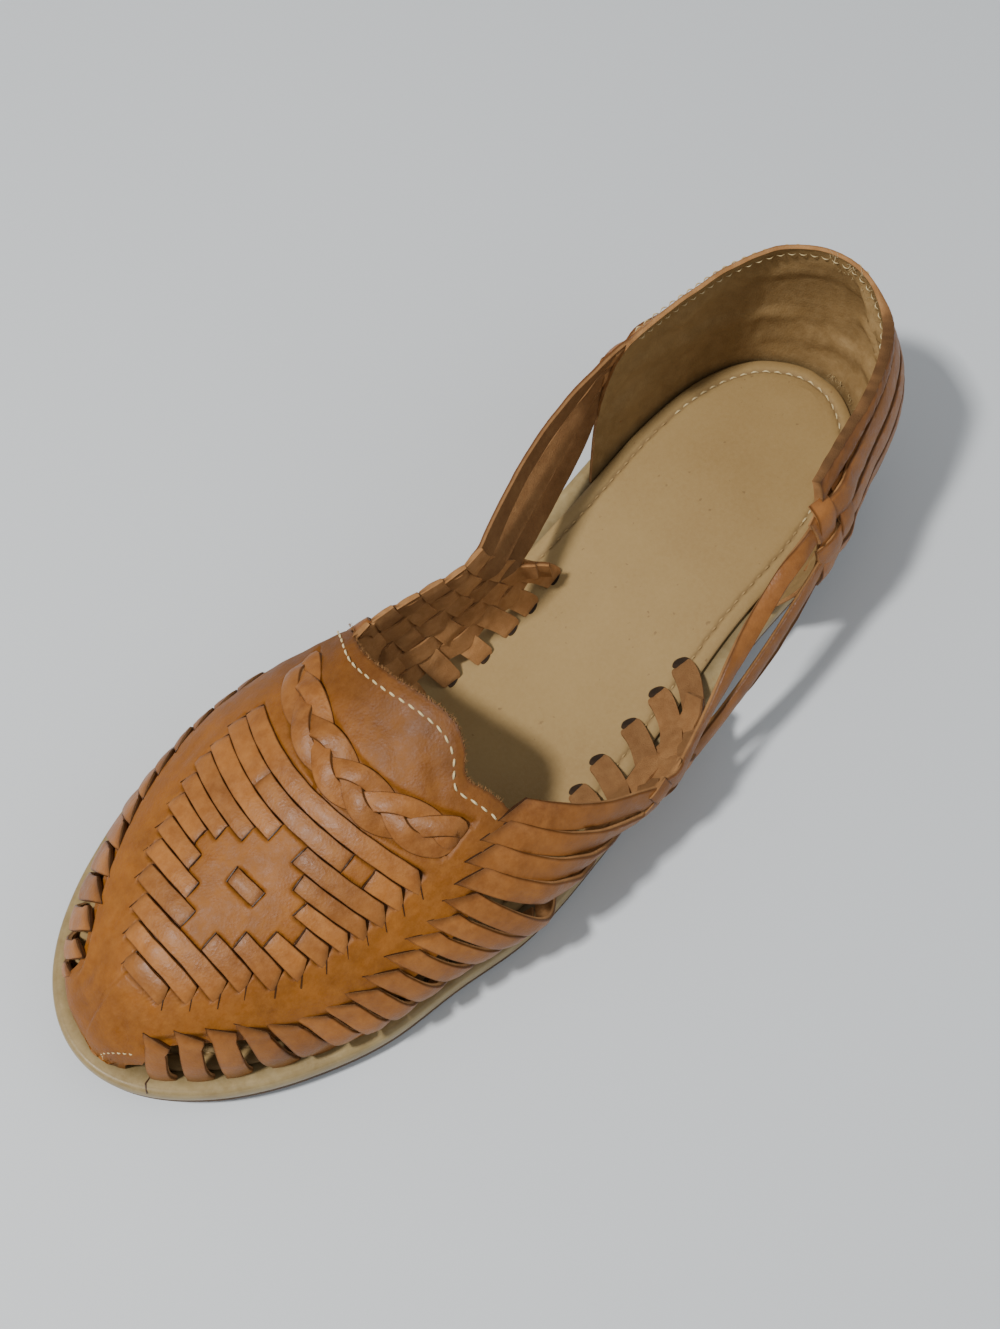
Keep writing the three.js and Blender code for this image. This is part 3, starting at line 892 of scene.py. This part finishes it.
def stripPieces():
    piece = Piece("vampStrips")
    own = random.Random(11)
    for n, row in enumerate(stripRows):
        slant = lerp(*stripCut["slant"], n / (len(stripRows) - 1))
        for a, b in row["over"]:
            startSkew = 0.4 * slant if a == row["over"][0][0] else own.uniform(-0.3, 0.3)
            endSkew = slant if b == row["over"][-1][1] else own.uniform(-0.3, 0.3)
            strap(piece, *trace(max(10, int((b - a) / 0.8)), lambda t: stripSpot(n, a, b, t)),
                  thick=1.05, crown=0.3, skewStart=startSkew, skewEnd=endSkew,
                  tone=own.choice(stripCut["tones"]), shadeReach=1.3, shadeEnds=(0.6, 0.6))
            for y, skew, outward in ((a, startSkew, -1), (b, endSkew, 1)):
                paintedShadeLine(slitShades, *trace(6, lambda t: slitSpot(n, y, skew, outward, t)))
    return piece.finish(faceAndBack, "strap_leather")


stripPieces()


# point, normal and width of one strand of the three
def strandSpot(strand, t):
    y = lerp(braid["from"], braid["to"], t)
    phase = 2 * math.pi * (braid["turns"] * t + strand / 3)
    ends = min(smooth(t / 0.05), smooth((1 - t) / 0.05))
    sway = braid["half"] * math.sin(phase) * (0.4 + 0.6 * ends)
    out = form["wall"] - 1.7 + 1.3 * ends + 0.7 * math.sin(2 * phase) * ends
    p, normal = topPoint(braidLine(y) + sway, y, out)
    tilt = Vector((0.32 * math.cos(phase), 0, 0)) * (ends * math.sin(2 * phase))
    width = braid["wide"] * (0.7 + 0.3 * ends) * (1 + 0.06 * math.sin(5 * t + strand))
    return p, (normal + tilt).normalized(), width


def braidPiece():
    piece = Piece("vampPlait")
    for strand, tone in enumerate((0.2, 0.6, 0.4)):
        strap(piece, *trace(109, lambda t: strandSpot(strand, t)), thick=1.1, crown=0.4, tone=tone)
    return piece.finish(faceAndBack, "strap_leather", ["vamp_braid"])


braidPiece()

print("stage: side straps")

# corners between the straps in plan, where they leave the shield: the lateral side is 1, the medial side -1
strapTips = {
    1: [
        (248.9, 4.7), (243, 9.5), (237.8, 13.8), (232.3, 17.6), (227.5, 22), (222.3, 25.2),
        (216.3, 28.1), (210.7, 30.5), (206, 31.4), (200, 32), (193.9, 32.8), (188.8, 33.7),
        (182.8, 34.6), (178.2, 33.9), (174.2, 32.5), (168.7, 31.2), (163.2, 30.8), (157.6, 30.6),
    ],
    -1: [
        (251.5, -18.5), (247.3, -16.4), (241.1, -19.1), (235.7, -22), (230, -25), (224.5, -28),
        (218.5, -30.5), (212.5, -33), (206, -35), (199.5, -36.6), (193, -37.4), (186.5, -37.8),
        (180, -37), (173.5, -35), (167, -32.5), (160.5, -30), (154, -27.5), (147.5, -25),
    ],
}
# the station where each strap meets the sole edge, and how much of its room it fills
strapEnds = {
    1: [254.6, 248.4, 241.2, 231.5, 222.5, 214, 206, 198, 190, 182, 174, 166, 158],
    -1: [252.5, 247.5, 241.5, 234.5, 227, 219, 210.5, 202, 193.5, 185, 176.5, 168, 159],
}
strapGaps = {
    1: [0.66, 0.7, 0.74, 0.8, 0.96, 0.94, 0.96, 0.94, 0.88, 0.86, 0.84, 0.88, 0.94],
    -1: [0.8, 0.84, 0.86, 0.92, 1, 0.97, 1, 0.96, 1, 0.95, 1, 0.98, 1],
}


def startSpot(side, n):
    a, b = strapTips[side][n], strapTips[side][n + 1]
    dx, dy = b[0] - a[0], b[1] - a[1]
    out = side * 0.9 / math.hypot(dx, dy)
    return spotOf((a[0] + b[0]) / 2 + dy * out, (a[1] + b[1]) / 2 - dx * out)


starts = {side: [startSpot(side, n) for n in range(len(strapTips[side]) - 1)] for side in (1, -1)}
sideStrap = {
    "drop": -1.2, "swell": 1.9, "fullest": 6, "spread": 3.2, "narrowest": 3.5, "widest": 7.6, "fill": 0.965,
}


# middle of strap n at t from the shield to the sole edge
def strapSpot(side, n, t):
    n = max(0, min(len(strapEnds[side]) - 1, n))
    turn, h = starts[side][n]
    end = sideTurn(strapEnds[side][n], side)
    share = math.exp(-((n - sideStrap["fullest"]) / sideStrap["spread"]) ** 2)
    swell = sideStrap["swell"] * share * math.sin(math.pi * smooth(t * 1.15)) if side > 0 else 0.0
    return wallPoint(lerp(turn % (2 * math.pi), end, t ** 1.08), lerp(h, sideStrap["drop"], t), swell)


def sideStrapSpot(side, n, t):
    p, normal = strapSpot(side, n, t)
    ahead, behind = strapSpot(side, n, min(1.0, t + 0.02))[0], strapSpot(side, n, max(0.0, t - 0.02))[0]
    course = (ahead - behind).normalized()
    across = strapSpot(side, n - 1, t)[0] - strapSpot(side, n + 1, t)[0]
    if n in (0, len(strapEnds[side]) - 1):
        across *= 2
    room = (across - course * across.dot(course)).length / 2
    start = 1 - smooth(t / 0.3)
    out = 0.5 + 0.5 * start - 0.2 * (1 - smooth(t / 0.04)) + 0.12 * math.sin(3 * t + n)
    narrow = 1 - (1 - strapGaps[side][n]) * smooth(t / 0.12) * (1 - 0.5 * smooth((t - 0.75) / 0.25))
    width = max(sideStrap["narrowest"], min(room * sideStrap["fill"], sideStrap["widest"]))
    return p + normal * out, normal, width * narrow * (1 + 0.02 * math.sin(9 * t + n))


# painted shade in the slit a strap comes out of
def strapStart(centres, normals, widths, skew):
    ahead = (centres[2] - centres[0]).normalized()
    sideways = ahead.cross(normals[0]).normalized()

    def spot(t):
        k = -0.98 + 1.96 * t
        across = sideways * (k * widths[0] / 2) - ahead * (k * skew + 0.15)
        return centres[0] + across + normals[0] * 0.95, normals[0]

    paintedShadeLine(slitShades, *trace(6, spot), half=0.36)


def sideStraps(name, side):
    piece = Piece(name)
    own = random.Random(3 if side > 0 else 5)
    for n in range(len(strapEnds[side])):
        line = trace(26, lambda t: sideStrapSpot(side, n, t))
        skew = (2.9 if n > 2 else 1.4) * side
        strap(piece, *line, thick=1.15, crown=0.42, skewStart=skew, tone=own.uniform(0.15, 0.85),
              roll=own.uniform(-0.07, 0.02) * side, shadeEnds=(0.75, 0.5), shadeReach=1.5)
        strapStart(*line, skew)
    return piece.finish(faceAndBack, "strap_leather")


sideStraps("lateralStraps", 1)
sideStraps("medialStraps", -1)

print("stage: side weave and slings")

# woven side panels: uprights rise from the insole holes and the top straps run back through them
# the first three top straps go on as slings to the heel
# foot and top bend an upright; levels and joins place a top strap
# the back-shade numbers paint shade on the backs of the uprights, the top straps and the slings
panels = {
    1: {
        "name": "lateral",
        "holeX": [94.5, 104.2, 114.8, 127, 136, 146], "holeY": [26, 26.8, 27.4, 28, 29.6, 31],
        "topX": [123, 129, 135.5, 142, 148, 154], "height": (22.6, 25.2), "shift": (2.6, 0.2),
        "foot": (1.0, 11.5, 1.6), "top": (-2.5, 2.6, -11.5), "rise": 0.35, "dip": 0.022, "paintedBackShade": 0.6,
        "levels": [0.92, 0.75, 0.57, 0.39], "joins": [1.3, 2.6, 3.6, 4.5],
        "startOut": 0.85, "skew": 2.7, "wallOut": 1.3, "chord": 0.5, "chordPower": 2,
        "strapBackShade": 0.45, "slingBackShade": 0.3, "slingWide": 0.7,
        "slings": table(
            "end bow sag lean turned",
            (34.6, -1.4, 0.0, 0.1, -0.75), (25, 1.2, -0.8, -0.45, -0.3), (16, 2.2, -1.0, -0.3, 0),
        ),
    },
    -1: {
        "name": "medial",
        "holeX": [98.4, 108, 115.7, 125.9, 136, 146], "holeY": [-11.4, -10.2, -9.8, -9.5, -11, -13],
        "topX": [122, 128, 134, 140, 146, 152.5], "height": (40.0, 39.0), "shift": (-5.5, -0.4),
        "foot": (1.0, 3.2, 4.5), "top": (-4.5, 1.0, -15.0), "rise": 0.1, "dip": 0.03, "paintedBackShade": 0.0,
        "levels": [0.94, 0.79, 0.64, 0.49, 0.34], "joins": [5, 5, 5, 5, 5],
        "startOut": -1.4, "skew": -1.2, "wallOut": 0.75, "chord": 1.0, "chordPower": 1,
        "strapBackShade": 0.0, "slingBackShade": 0.6, "slingWide": 0.97,
        "slings": table(
            "end bow sag lean turned",
            (37.5, 3.2, -0.6, -0.5, -0.2), (30, 2.0, -3.6, -0.7, -0.4), (22.5, 0.6, -8.0, -0.85, -0.5),
        ),
    },
}


# value at place s along a list, carried on past its ends by step
def along(values, s, step=0.0):
    k = max(0.0, min(len(values) - 1.001, s))
    beyond = s - max(0.0, min(len(values) - 1, s))
    return lerp(values[int(k)], values[int(k) + 1], k - int(k)) + step * beyond


# the panel's surface: s counts the uprights from the back, v goes from the insole to the top edge
def patchPoint(side, s, v):
    row = panels[side]
    foot = Vector((along(row["holeX"], s, 9), along(row["holeY"], s), 0))
    foot.z = insoleTop(foot.x) + row["rise"]
    share = smooth(s / (len(row["topX"]) - 1))
    crest = wallPoint(sideTurn(along(row["topX"], s, 6.5), side), lerp(*row["height"], share))[0]
    crest.y += side * lerp(*row["shift"], share)
    a = foot + Vector(row["foot"]) * Vector((1, side, 1))
    b = crest + Vector(row["top"]) * Vector((1, side, 1))
    w = 1 - v
    return foot * (w ** 3) + a * (3 * w * w * v) + b * (3 * w * v * v) + crest * (v ** 3)


def patchSpot(side, s, v, out=0.0):
    e = 0.03
    back = patchPoint(side, s + e, v) - patchPoint(side, s - e, v)
    up = patchPoint(side, s, v + e) - patchPoint(side, s, v - e)
    normal = back.cross(up).normalized() * -side
    return patchPoint(side, s, v) + normal * out, normal


# an even, softened path through pairs of point and normal
def softPath(controls, step=1.0, passes=6):
    points, normals = [controls[0][0]], [controls[0][1]]
    for (p, n), (q, m) in zip(controls, controls[1:]):
        count = max(1, int((q - p).length / step))
        for i in range(1, count + 1):
            points.append(p.lerp(q, i / count))
            normals.append(n.lerp(m, i / count).normalized())
    for _ in range(passes):
        inner = [(a + b * 2 + c) / 4 for a, b, c in zip(points, points[1:], points[2:])]
        points = [points[0]] + inner + [points[-1]]
    return points, normals


# a crossing lies lift over or under the base; slings are smoothed off from slingSteps before the end
weave = {
    "lift": 0.72, "base": 0.75, "upright": 6.1, "topStrap": 6.3, "lowStrap": 5.8,
    "lowStart": 165, "slingSteps": 78,
}


def uprightSpot(side, i, v):
    first, second = panels[side]["levels"][:2]
    fade = smooth((v - 0.2) / 0.12)
    out = fade * (weave["base"] - weave["lift"] * math.cos(math.pi * ((first - v) / (first - second) + i)))
    p, normal = patchSpot(side, i, v, out)
    return p - Vector((0, 0, 1.8 * (1 - smooth(v / panels[side]["dip"])))), normal


def uprights(side):
    row = panels[side]
    piece = Piece(row["name"] + "Uprights")
    own = random.Random(21 + side)
    for i in range(len(row["holeX"])):
        top = 0.09 + max([level for level, join in zip(row["levels"], row["joins"]) if join >= i] + [0.3])
        points, normals = softPath([uprightSpot(side, i, top * k / 40) for k in range(41)], passes=3)
        count = len(points)
        pinch = [0.28 + 0.72 * smooth((n + 0.6) / 4.4) ** 0.7 for n in range(count)]
        widths = [weave["upright"] * pinch[n] * (1 + 0.04 * math.sin(n * 0.3 + i)) for n in range(count)]
        strap(piece, points, normals, widths, thick=1.0, crown=0.3, tone=own.uniform(0.2, 0.8),
              backTone=own.uniform(0.2, 0.9), shadeEnds=(0.9, 0.3), shadeReach=3.6, paintedBackShade=[row["paintedBackShade"]] * count)
    return piece.finish(faceAndBack, "strap_leather")


# path of top strap w: from the shield along the wall to the panel, through it, and back to the heel
def topStrapPath(side, w, low):
    row = panels[side]
    last, level = row["joins"][w], row["levels"][w]
    turn, h = (sideTurn(weave["lowStart"], side), -1.0) if low else starts[side][16 - w]
    turn = turn % (2 * math.pi)
    controls = [wallPoint(turn, h, 0.2 if low else row["startOut"])]
    join, joinNormal = patchSpot(side, last, level, 0.4)
    joinTurn = sideTurn(join.x, side)
    for t in (0.15, 0.35, 0.6, 0.8):
        q, m = wallPoint(lerp(turn, joinTurn, t), lerp(h, join.z - seatAt(join.x), t), row["wallOut"])
        straight = controls[0][0].lerp(join, t)
        pull = row["chord"] * t ** row["chordPower"]
        controls.append((q.lerp(straight, pull), m.lerp(joinNormal, t).normalized()))
    for k in range(61):
        at = lerp(last, -0.35, k / 60)
        fade = smooth((at + 0.6) / 0.5) * smooth((last + 0.5 - at) / 0.5)
        out = weave["base"] + weave["lift"] * math.cos(math.pi * (at + w)) * fade
        if w > 2 and at < 0:
            out -= 4.0 * smooth(-at / 0.35)
        controls.append(patchSpot(side, at, level, out))
    if w < 3:
        sling = row["slings"][w]
        here, hereNormal = controls[-1]
        there, thereNormal = wallPoint(sideTurn(64, side), sling["end"], 1.2)
        for t in (0.2, 0.4, 0.6, 0.8):
            hang = Vector((0, side * sling["bow"], sling["sag"])) * math.sin(math.pi * t)
            controls.append((here.lerp(there, t) + hang, hereNormal.lerp(thereNormal, t).normalized()))
        for x in (63, 58, 53, 48):
            controls.append(wallPoint(sideTurn(x, side), sling["end"], 1.2 - 0.06 * (64 - x)))
    return softPath(controls, passes=7)


def topStraps(side):
    row = panels[side]
    piece = Piece(row["name"] + "TopStraps")
    own = random.Random(31 + side)
    for w in range(len(row["levels"])):
        low = w == 4
        points, normals = topStrapPath(side, w, low)
        steps = range(len(points))
        freed = len(points) - (weave["slingSteps"] if w < 3 else 0)
        wide = weave["topStrap"] if w < 4 else weave["lowStrap"]
        narrow = [1 - (1 - row["slingWide"]) * smooth((n - freed + 10) / 20) for n in steps]
        widths = [wide * (narrow[n] + 0.035 * math.sin(n * 0.21 + w)) for n in steps]
        sling = row["slings"][min(w, 2)]
        leans = [lerp(sling["lean"], sling["turned"], smooth((n - freed - 10) / 46)) for n in steps]
        fades = [smooth((n - freed) / 14) * smooth((len(points) - 14 - n) / 14) for n in steps]
        rolls = [leans[n] * fades[n] * (1 + 0.3 * math.sin(w * 2.2 + n * 0.06)) for n in steps]
        # painted shade on the back, stronger along the slings
        paintedBackShade = [max(row["strapBackShade"], row["slingBackShade"] * smooth((n - freed + 6) / 12)) for n in steps]
        skew = 0 if low else row["skew"]
        strap(piece, points, normals, widths, thick=1.15, crown=0.35, skewStart=skew, roll=rolls,
              tone=own.uniform(0.1, 0.45) if w < 3 else own.uniform(0.25, 0.75),
              backTone=own.uniform(0.2, 0.9), shadeEnds=(0.6, 0.4), paintedBackShade=paintedBackShade)
        if not low:
            strapStart(points, normals, widths, skew)
    return piece.finish(faceAndBack, "strap_leather")


for side in (1, -1):
    uprights(side)
    topStraps(side)

# rings of a punched hole, drawn dark over the board as painted shade in the hole: share toward its middle,
# rise over the board and tone
punch = {"long": 2.4, "short": 1.25, "lean": 25, "back": 0.4, "out": 1.1}
punchRings = table(
    "share rise tone",
    (0, -0.5, (1, 1, 0.3, 0)), (0, 0.3, (0.6, 0.3, 0.3, 0)), (0.2, 0.32, (0.4, 0.35, 0.4, 0)),
    (0.6, 0.28, (0.7, 0.6, 0.3, 0)),
)


def holeRings():
    piece = Piece("insoleHoleShade")
    for side in (1, -1):
        lean = math.radians(-side * punch["lean"])
        for x, y in list(zip(panels[side]["holeX"], panels[side]["holeY"]))[:5]:
            ring = []
            for k in range(20):
                a = 2 * math.pi * k / 20
                u = punch["long"] * math.cos(a) * (1 + 0.06 * math.sin(3 * a))
                v = punch["short"] * math.sin(a)
                ring.append((x - punch["back"] + u * math.cos(lean) - v * math.sin(lean),
                             y + side * punch["out"] + u * math.sin(lean) + v * math.cos(lean)))
            rings = []
            for row in punchRings:
                spots = [(lerp(px, x, row["share"]), lerp(py, y, row["share"]), insoleTop(px) + row["rise"])
                         for px, py in ring]
                rings.append([piece.vert(spot, row["tone"]) for spot in spots])
            piece.tube(rings)
    return piece.finish([hides["holeShade"]], "insole_board")


holeRings()

print("stage: counter")

# the band is the turned collar, raw on the lateral side; fray reaches down the lining from the collar
counter = {"frontTop": 57.0, "frontLow": 72.0, "frontHeight": 42, "back": 0.9, "band": 4.6, "fray": 5.5}
# folds of the lining: place round the heel, height, half sizes, depth and lean
liningFolds = table(
    "turn h wide tall deep lean",
    (0.42, 33, 0.22, 3.4, 2.6, 18), (0.62, 24, 0.26, 2.4, 2.0, 26), (0.36, 20, 0.2, 2, 2.2, -24),
    (0.5, 15, 0.16, 1.8, 2.0, 36), (0.3, 41, 0.2, 2.2, 2.4, -14), (0.75, 36, 0.14, 3, -0.9, 30),
    (-0.25, 30, 0.5, 6, -0.8, 6), (-0.6, 22, 0.4, 4, 0.8, -10), (-0.82, 31, 0.16, 7, 0.7, 40),
    (0.1, 14, 0.3, 3.5, 0.9, 8), (0.5, 9, 0.25, 3, 1.1, -20), (-0.95, 14, 0.12, 5, 0.6, 20),
)


def counterFront(h):
    return lerp(counter["frontLow"], counter["frontTop"], min(1.0, max(0.0, h / counter["frontHeight"])))


def foldAt(turn, h):
    depth = 0.0
    for fold in liningFolds:
        u = (turn - fold["turn"]) / fold["wide"]
        v = (h - fold["h"] - fold["lean"] * (turn - fold["turn"])) / fold["tall"]
        if abs(u) < 2.4 and abs(v) < 3:
            depth += fold["deep"] * math.exp(-u * u) * (math.exp(-v * v) - 0.6 * math.exp(-(v - 1.1) ** 2))
    return depth


# outer vertex and inner vertex of the counter at u round the heel and v up the wall
def counterSpot(piece, u, v):
    turn = turnOf(counterFront(v * counter["frontHeight"])) * (1 - 2 * u)
    x = edgePoint(turn)[0]
    top = collarAt(x)
    h = v * (top + 0.5 * rough(x, turn * 9, 0, 5) * smooth((v - 0.8) * 5))
    p, normal = wallPoint(turn, h)
    fromEnd = min(u, 1 - u)
    ends = 1 - smooth(fromEnd * 90)
    band = smooth((h - (top - counter["band"])) / 1.2)
    edge = smooth((h - (top - 1.3)) / 1.3)
    raw = smooth((turn - 0.15) / 0.3)
    ragged = 0.25 * rough(x, turn * 40, h, 1.5) * raw
    out = counter["back"] + (0.45 + 1.5 * raw + ragged) * band - 0.3 * edge
    tone = (0.9 * max(edge, ends), 0.2 * ends + (0.35 * band + 0.4 * edge) * raw, 0.55 - 0.4 * raw * band, 0)
    fold = 1.6 * foldAt(turn, h) * smooth(v * 4) * smooth((1 - v) * 7) * smooth(fromEnd * 16)
    crumple = 0.55 * rough(x, turn * 30, h, 8) + 0.22 * rough(x, turn * 30, h, 3)
    crumple *= smooth(v * 5) * smooth((1 - v) * 8)
    fray = raw * smooth((h - (top - counter["fray"])) / 4) * (0.5 + rough(x, turn * 40, h * 0.6, 2))
    # the lining darkens towards the bottom, at the collar edge and where it frays
    liningDark = min(0.9, 0.5 * (1 - smooth(h / 5)) + 0.25 * edge + 0.6 * max(0.0, fray))
    inside = 0.1 - 0.2 * edge - max(0.0, fold + crumple)
    insideTone = ((0.3 + 0.6 * raw) * edge, liningDark, 0.5, 0)
    return piece.vert(p + normal * out, tone), piece.vert(p + normal * inside, insideTone)


def counterPiece():
    piece = Piece("heelCounter")
    around, rise = 220, 46
    outer, inner = [], []
    for i in range(around + 1):
        pairs = [counterSpot(piece, i / around, j / rise) for j in range(rise + 1)]
        outer.append([a for a, b in pairs])
        inner.append([b for a, b in pairs])
    piece.grid(outer)
    piece.grid(inner, flip=True, slot=1)
    piece.grid([[c[-1] for c in outer], [c[-1] for c in inner]], slot=2)
    piece.grid([[c[0] for c in outer], [c[0] for c in inner]], flip=True, slot=2)
    piece.grid([outer[0], inner[0]], flip=True, slot=2)
    piece.grid([outer[-1], inner[-1]], slot=2)
    hide = [hides[name] for name in ("strapLeather", "counterLining", "suedeBack")]
    return piece.finish(hide, "upper_leather", sharp=70)


counterPiece()

# straps round the back of the heel, woven through two short uprights near the front edge
heelRows = table("heel front", (40.5, 34.8), (33.2, 27.2), (25.9, 19.8), (18.6, 12.4))
checker = {"x": [50.5, 58.5], "pitch": 8.0, "wide": 6.0, "strap": 6.75, "low": 8.5, "high": 39.0}


def heelStrapSpot(n, t):
    turn = lerp(turnOf(64), -turnOf(64), t)
    x = edgePoint(turn)[0]
    front = heelRows[n]["front"] + (0.0 if turn > 0 else 1.0)
    fade = smooth((x - 43) / 5)
    over = math.cos(math.pi * ((x - checker["x"][0]) / checker["pitch"] + n))
    h = lerp(heelRows[n]["heel"], front, smooth(x / 62))
    return wallPoint(turn, h, 0.95 + 0.75 * over * fade + 0.35 * fade)


def heelUprightSpot(side, c, t):
    h = lerp(checker["low"], checker["high"], t)
    x = checker["x"][c] + (checker["high"] - h) * 0.16
    r = (heelRows[0]["front"] + 1 - h) / 7.4
    tucked = 1.2 * (1 - smooth((h - checker["low"]) / 2.5)) + smooth((h - 37) / 2)
    return wallPoint(sideTurn(x, side), h, 1.3 - 0.75 * math.cos(math.pi * (r + c)) - tucked)


def heelStraps():
    piece = Piece("heelStraps")
    for n, tone in enumerate((0.35, 0.6, 0.45, 0.7)):
        points, normals = softPath([heelStrapSpot(n, i / 150) for i in range(151)], step=1.4, passes=2)
        widths = [checker["strap"] * (1 + 0.02 * math.sin(k * 0.13 + n)) for k in range(len(points))]
        strap(piece, points, normals, widths, thick=1.1, crown=0.35, tone=tone, shadeEnds=(0.3, 0.3))
    for side in (1, -1):
        for c in range(len(checker["x"])):
            points, normals = softPath([heelUprightSpot(side, c, k / 44) for k in range(45)], passes=2)
            strap(piece, points, normals, [checker["wide"]] * len(points), thick=1.1, crown=0.35,
                  tone=0.4 + 0.25 * c, shadeEnds=(0.6, 0.4))
    return piece.finish(faceAndBack, "strap_leather")


heelStraps()

print("stage: stitches and loose fibres")


def throatSpot(t):
    y = lerp(-27, 31, t)
    return topPoint(throatAt(y) + 3.4, y, form["wall"] + 0.05)


# a seam under the collar: first is where it starts, facing is 1 outside and -1 on the lining
def collarSpot(first, out, facing, t):
    turn = lerp(first, -turnOf(55), t)
    p, normal = wallPoint(turn, collarAt(edgePoint(turn)[0]) - 2.7, out)
    return p, normal * facing


def toeTabSpot(t):
    return topPoint(lerp(256.4, 250.9, t), lerp(-2.0, 5.9, t), form["wall"] - 0.2)


def seams():
    piece = Piece("upperStitch")
    stitchLine(piece, *trace(80, throatSpot), size=0.27, fill=0.78, pitch=2.7)
    for first, out, facing, size in ((0.1, 2.05, 1, 0.24), (turnOf(55), -0.3, -1, 0.17)):
        line = trace(120, lambda t: collarSpot(first, out, facing, t))
        stitchLine(piece, *line, size=size, fill=0.72, pitch=2.7)
    stitchLine(piece, *trace(20, toeTabSpot), size=0.2, fill=0.75, pitch=1.5, bury=0.15)
    return piece.finish([hides["threadCream"]], "thread")


seams()


def fibre(piece, root, direction, size, own):
    side = direction.cross(Vector((0, 0, 1))).normalized() if abs(direction.z) < 0.9 else Vector((1, 0, 0))
    bend = side * own.uniform(-0.7, 0.7) + Vector((0, 0, own.uniform(-0.4, 0.4)))
    rings = []
    for k in range(4):
        t = k / 3
        centre = root + direction * (size * t) + bend * (size * t * t)
        radius = 0.11 * (1 - 0.75 * t)
        ring = [Vector((math.cos(a), math.sin(a), math.sin(a + 1))) * radius for a in (0, 2.1, 4.2)]
        rings.append([piece.vert(centre + offset, (0, 0.2, 0.5, 0)) for offset in ring])
    piece.tube(rings)


# short dark fuzz at the throat, pale threads from the collar and from under the lining
def looseFibres():
    own = random.Random(17)
    dark, pale = Piece("throatFuzz"), Piece("liningFray")
    for _ in range(420):
        y = own.uniform(-27, 29)
        p = topPoint(throatAt(y) + 0.2, y, own.uniform(0.2, 1.7))[0]
        heading = Vector((-1, own.uniform(-0.6, 0.6), own.uniform(-0.3, 0.6))).normalized()
        fibre(dark, p, heading, own.uniform(0.3, 1.1), own)
    for _ in range(46):
        turn = own.choice((own.uniform(0.02, 0.35), own.uniform(-0.2, 0.1)))
        h = collarAt(edgePoint(turn)[0]) - own.choice((0.2, 0.4, 5.5))
        heading = Vector((own.uniform(-0.2, 1), own.uniform(-0.7, 0.7), own.uniform(-0.3, 0.8))).normalized()
        fibre(pale, wallPoint(turn, h, -0.2)[0], heading, own.uniform(0.6, 2.2), own)
    for _ in range(60):
        turn = own.uniform(0.0, 0.75)
        p = wallPoint(turn, own.uniform(2.0, 3.6), -0.4)[0]
        heading = Vector((0.6, own.uniform(-0.9, 0.6), own.uniform(-0.2, 0.5))).normalized()
        fibre(pale, p, heading, own.uniform(0.5, 1.8), own)
    dark.finish([hides["suedeBack"]], "suede_back")
    pale.finish([hides["threadCream"]], "counter_lining")


looseFibres()


# painted shade in the split where the bead's wrap meets at the toe
def beadSpot(t):
    x, y = insetPoint(turnOf(256.4) + 0.012 * (1 - abs(2 * t - 1)), lerp(4.4, 0.2, t))
    return Vector((x, y, seatAt(x) + 0.02 - 1.6 * max(0.0, t - 0.55) ** 1.5)), Vector((0, 0, 1))


paintedShadeLine(slitShades, *trace(8, beadSpot), half=0.3)
slitShades.finish([hides["strapLeather"]], "strap_leather")

print("stage: floor, light and camera")


floorHalf = 6
lights = table(
    "name place aim size power colour",
    ("key", (0.575, -0.19, 1.15), (0.0, 0.0, 0.0), 0.11, 19, (1.0, 0.97, 0.93)),
    ("fill", (-0.5, 0.8, 0.9), (0, 0, 0), 0.9, 3, (0.9, 0.95, 1.0)),
)


def studio():
    corners = [(x * floorHalf, y * floorHalf, 0) for x, y in ((-1, -1), (1, -1), (1, 1), (-1, 1))]
    floorMesh = bpy.data.meshes.new("floor")
    floorMesh.from_pydata(corners, [], [(0, 1, 2, 3)])
    floor = bpy.data.objects.new("floor", floorMesh)
    bpy.context.collection.objects.link(floor)
    finish = Finish("paleFloor")
    colour = finish.mix(finish.noise(3, 2, 0.5), linear(196, 202, 208), linear(204, 209, 213))
    finish.feedAll(finish.shader, Base_Color=colour, Roughness=0.6)
    floorMesh.materials.append(finish.material)
    world = bpy.data.worlds.new("studio")
    bpy.context.scene.world = world
    world.use_nodes = True
    sky = world.node_tree.nodes["Background"]
    sky.inputs[0].default_value = (1.0, 0.99, 0.98, 1)
    sky.inputs[1].default_value = 0.42
    for row in lights:
        data = bpy.data.lights.new(row["name"], "AREA")
        data.size, data.energy, data.color = row["size"], row["power"], row["colour"]
        lamp = bpy.data.objects.new(row["name"], data)
        lamp.location = row["place"]
        lamp.rotation_euler = (Vector(row["aim"]) - lamp.location).to_track_quat("-Z", "Y").to_euler()
        bpy.context.collection.objects.link(lamp)


studio()

view = {"eye": (258.1, 122.5, 394.6), "aim": (131, 0, 30), "lens": 61.0, "sensor": 36}


def camera():
    data = bpy.data.cameras.new("camera")
    data.sensor_fit = "HORIZONTAL"
    data.sensor_width = view["sensor"]
    data.lens = view["lens"]
    data.clip_start = 0.01
    eye = bpy.data.objects.new("camera", data)
    eye.location = metres(view["eye"])
    eye.rotation_euler = (metres(view["aim"]) - metres(view["eye"])).to_track_quat("-Z", "Y").to_euler()
    bpy.context.collection.objects.link(eye)
    bpy.context.scene.camera = eye


camera()
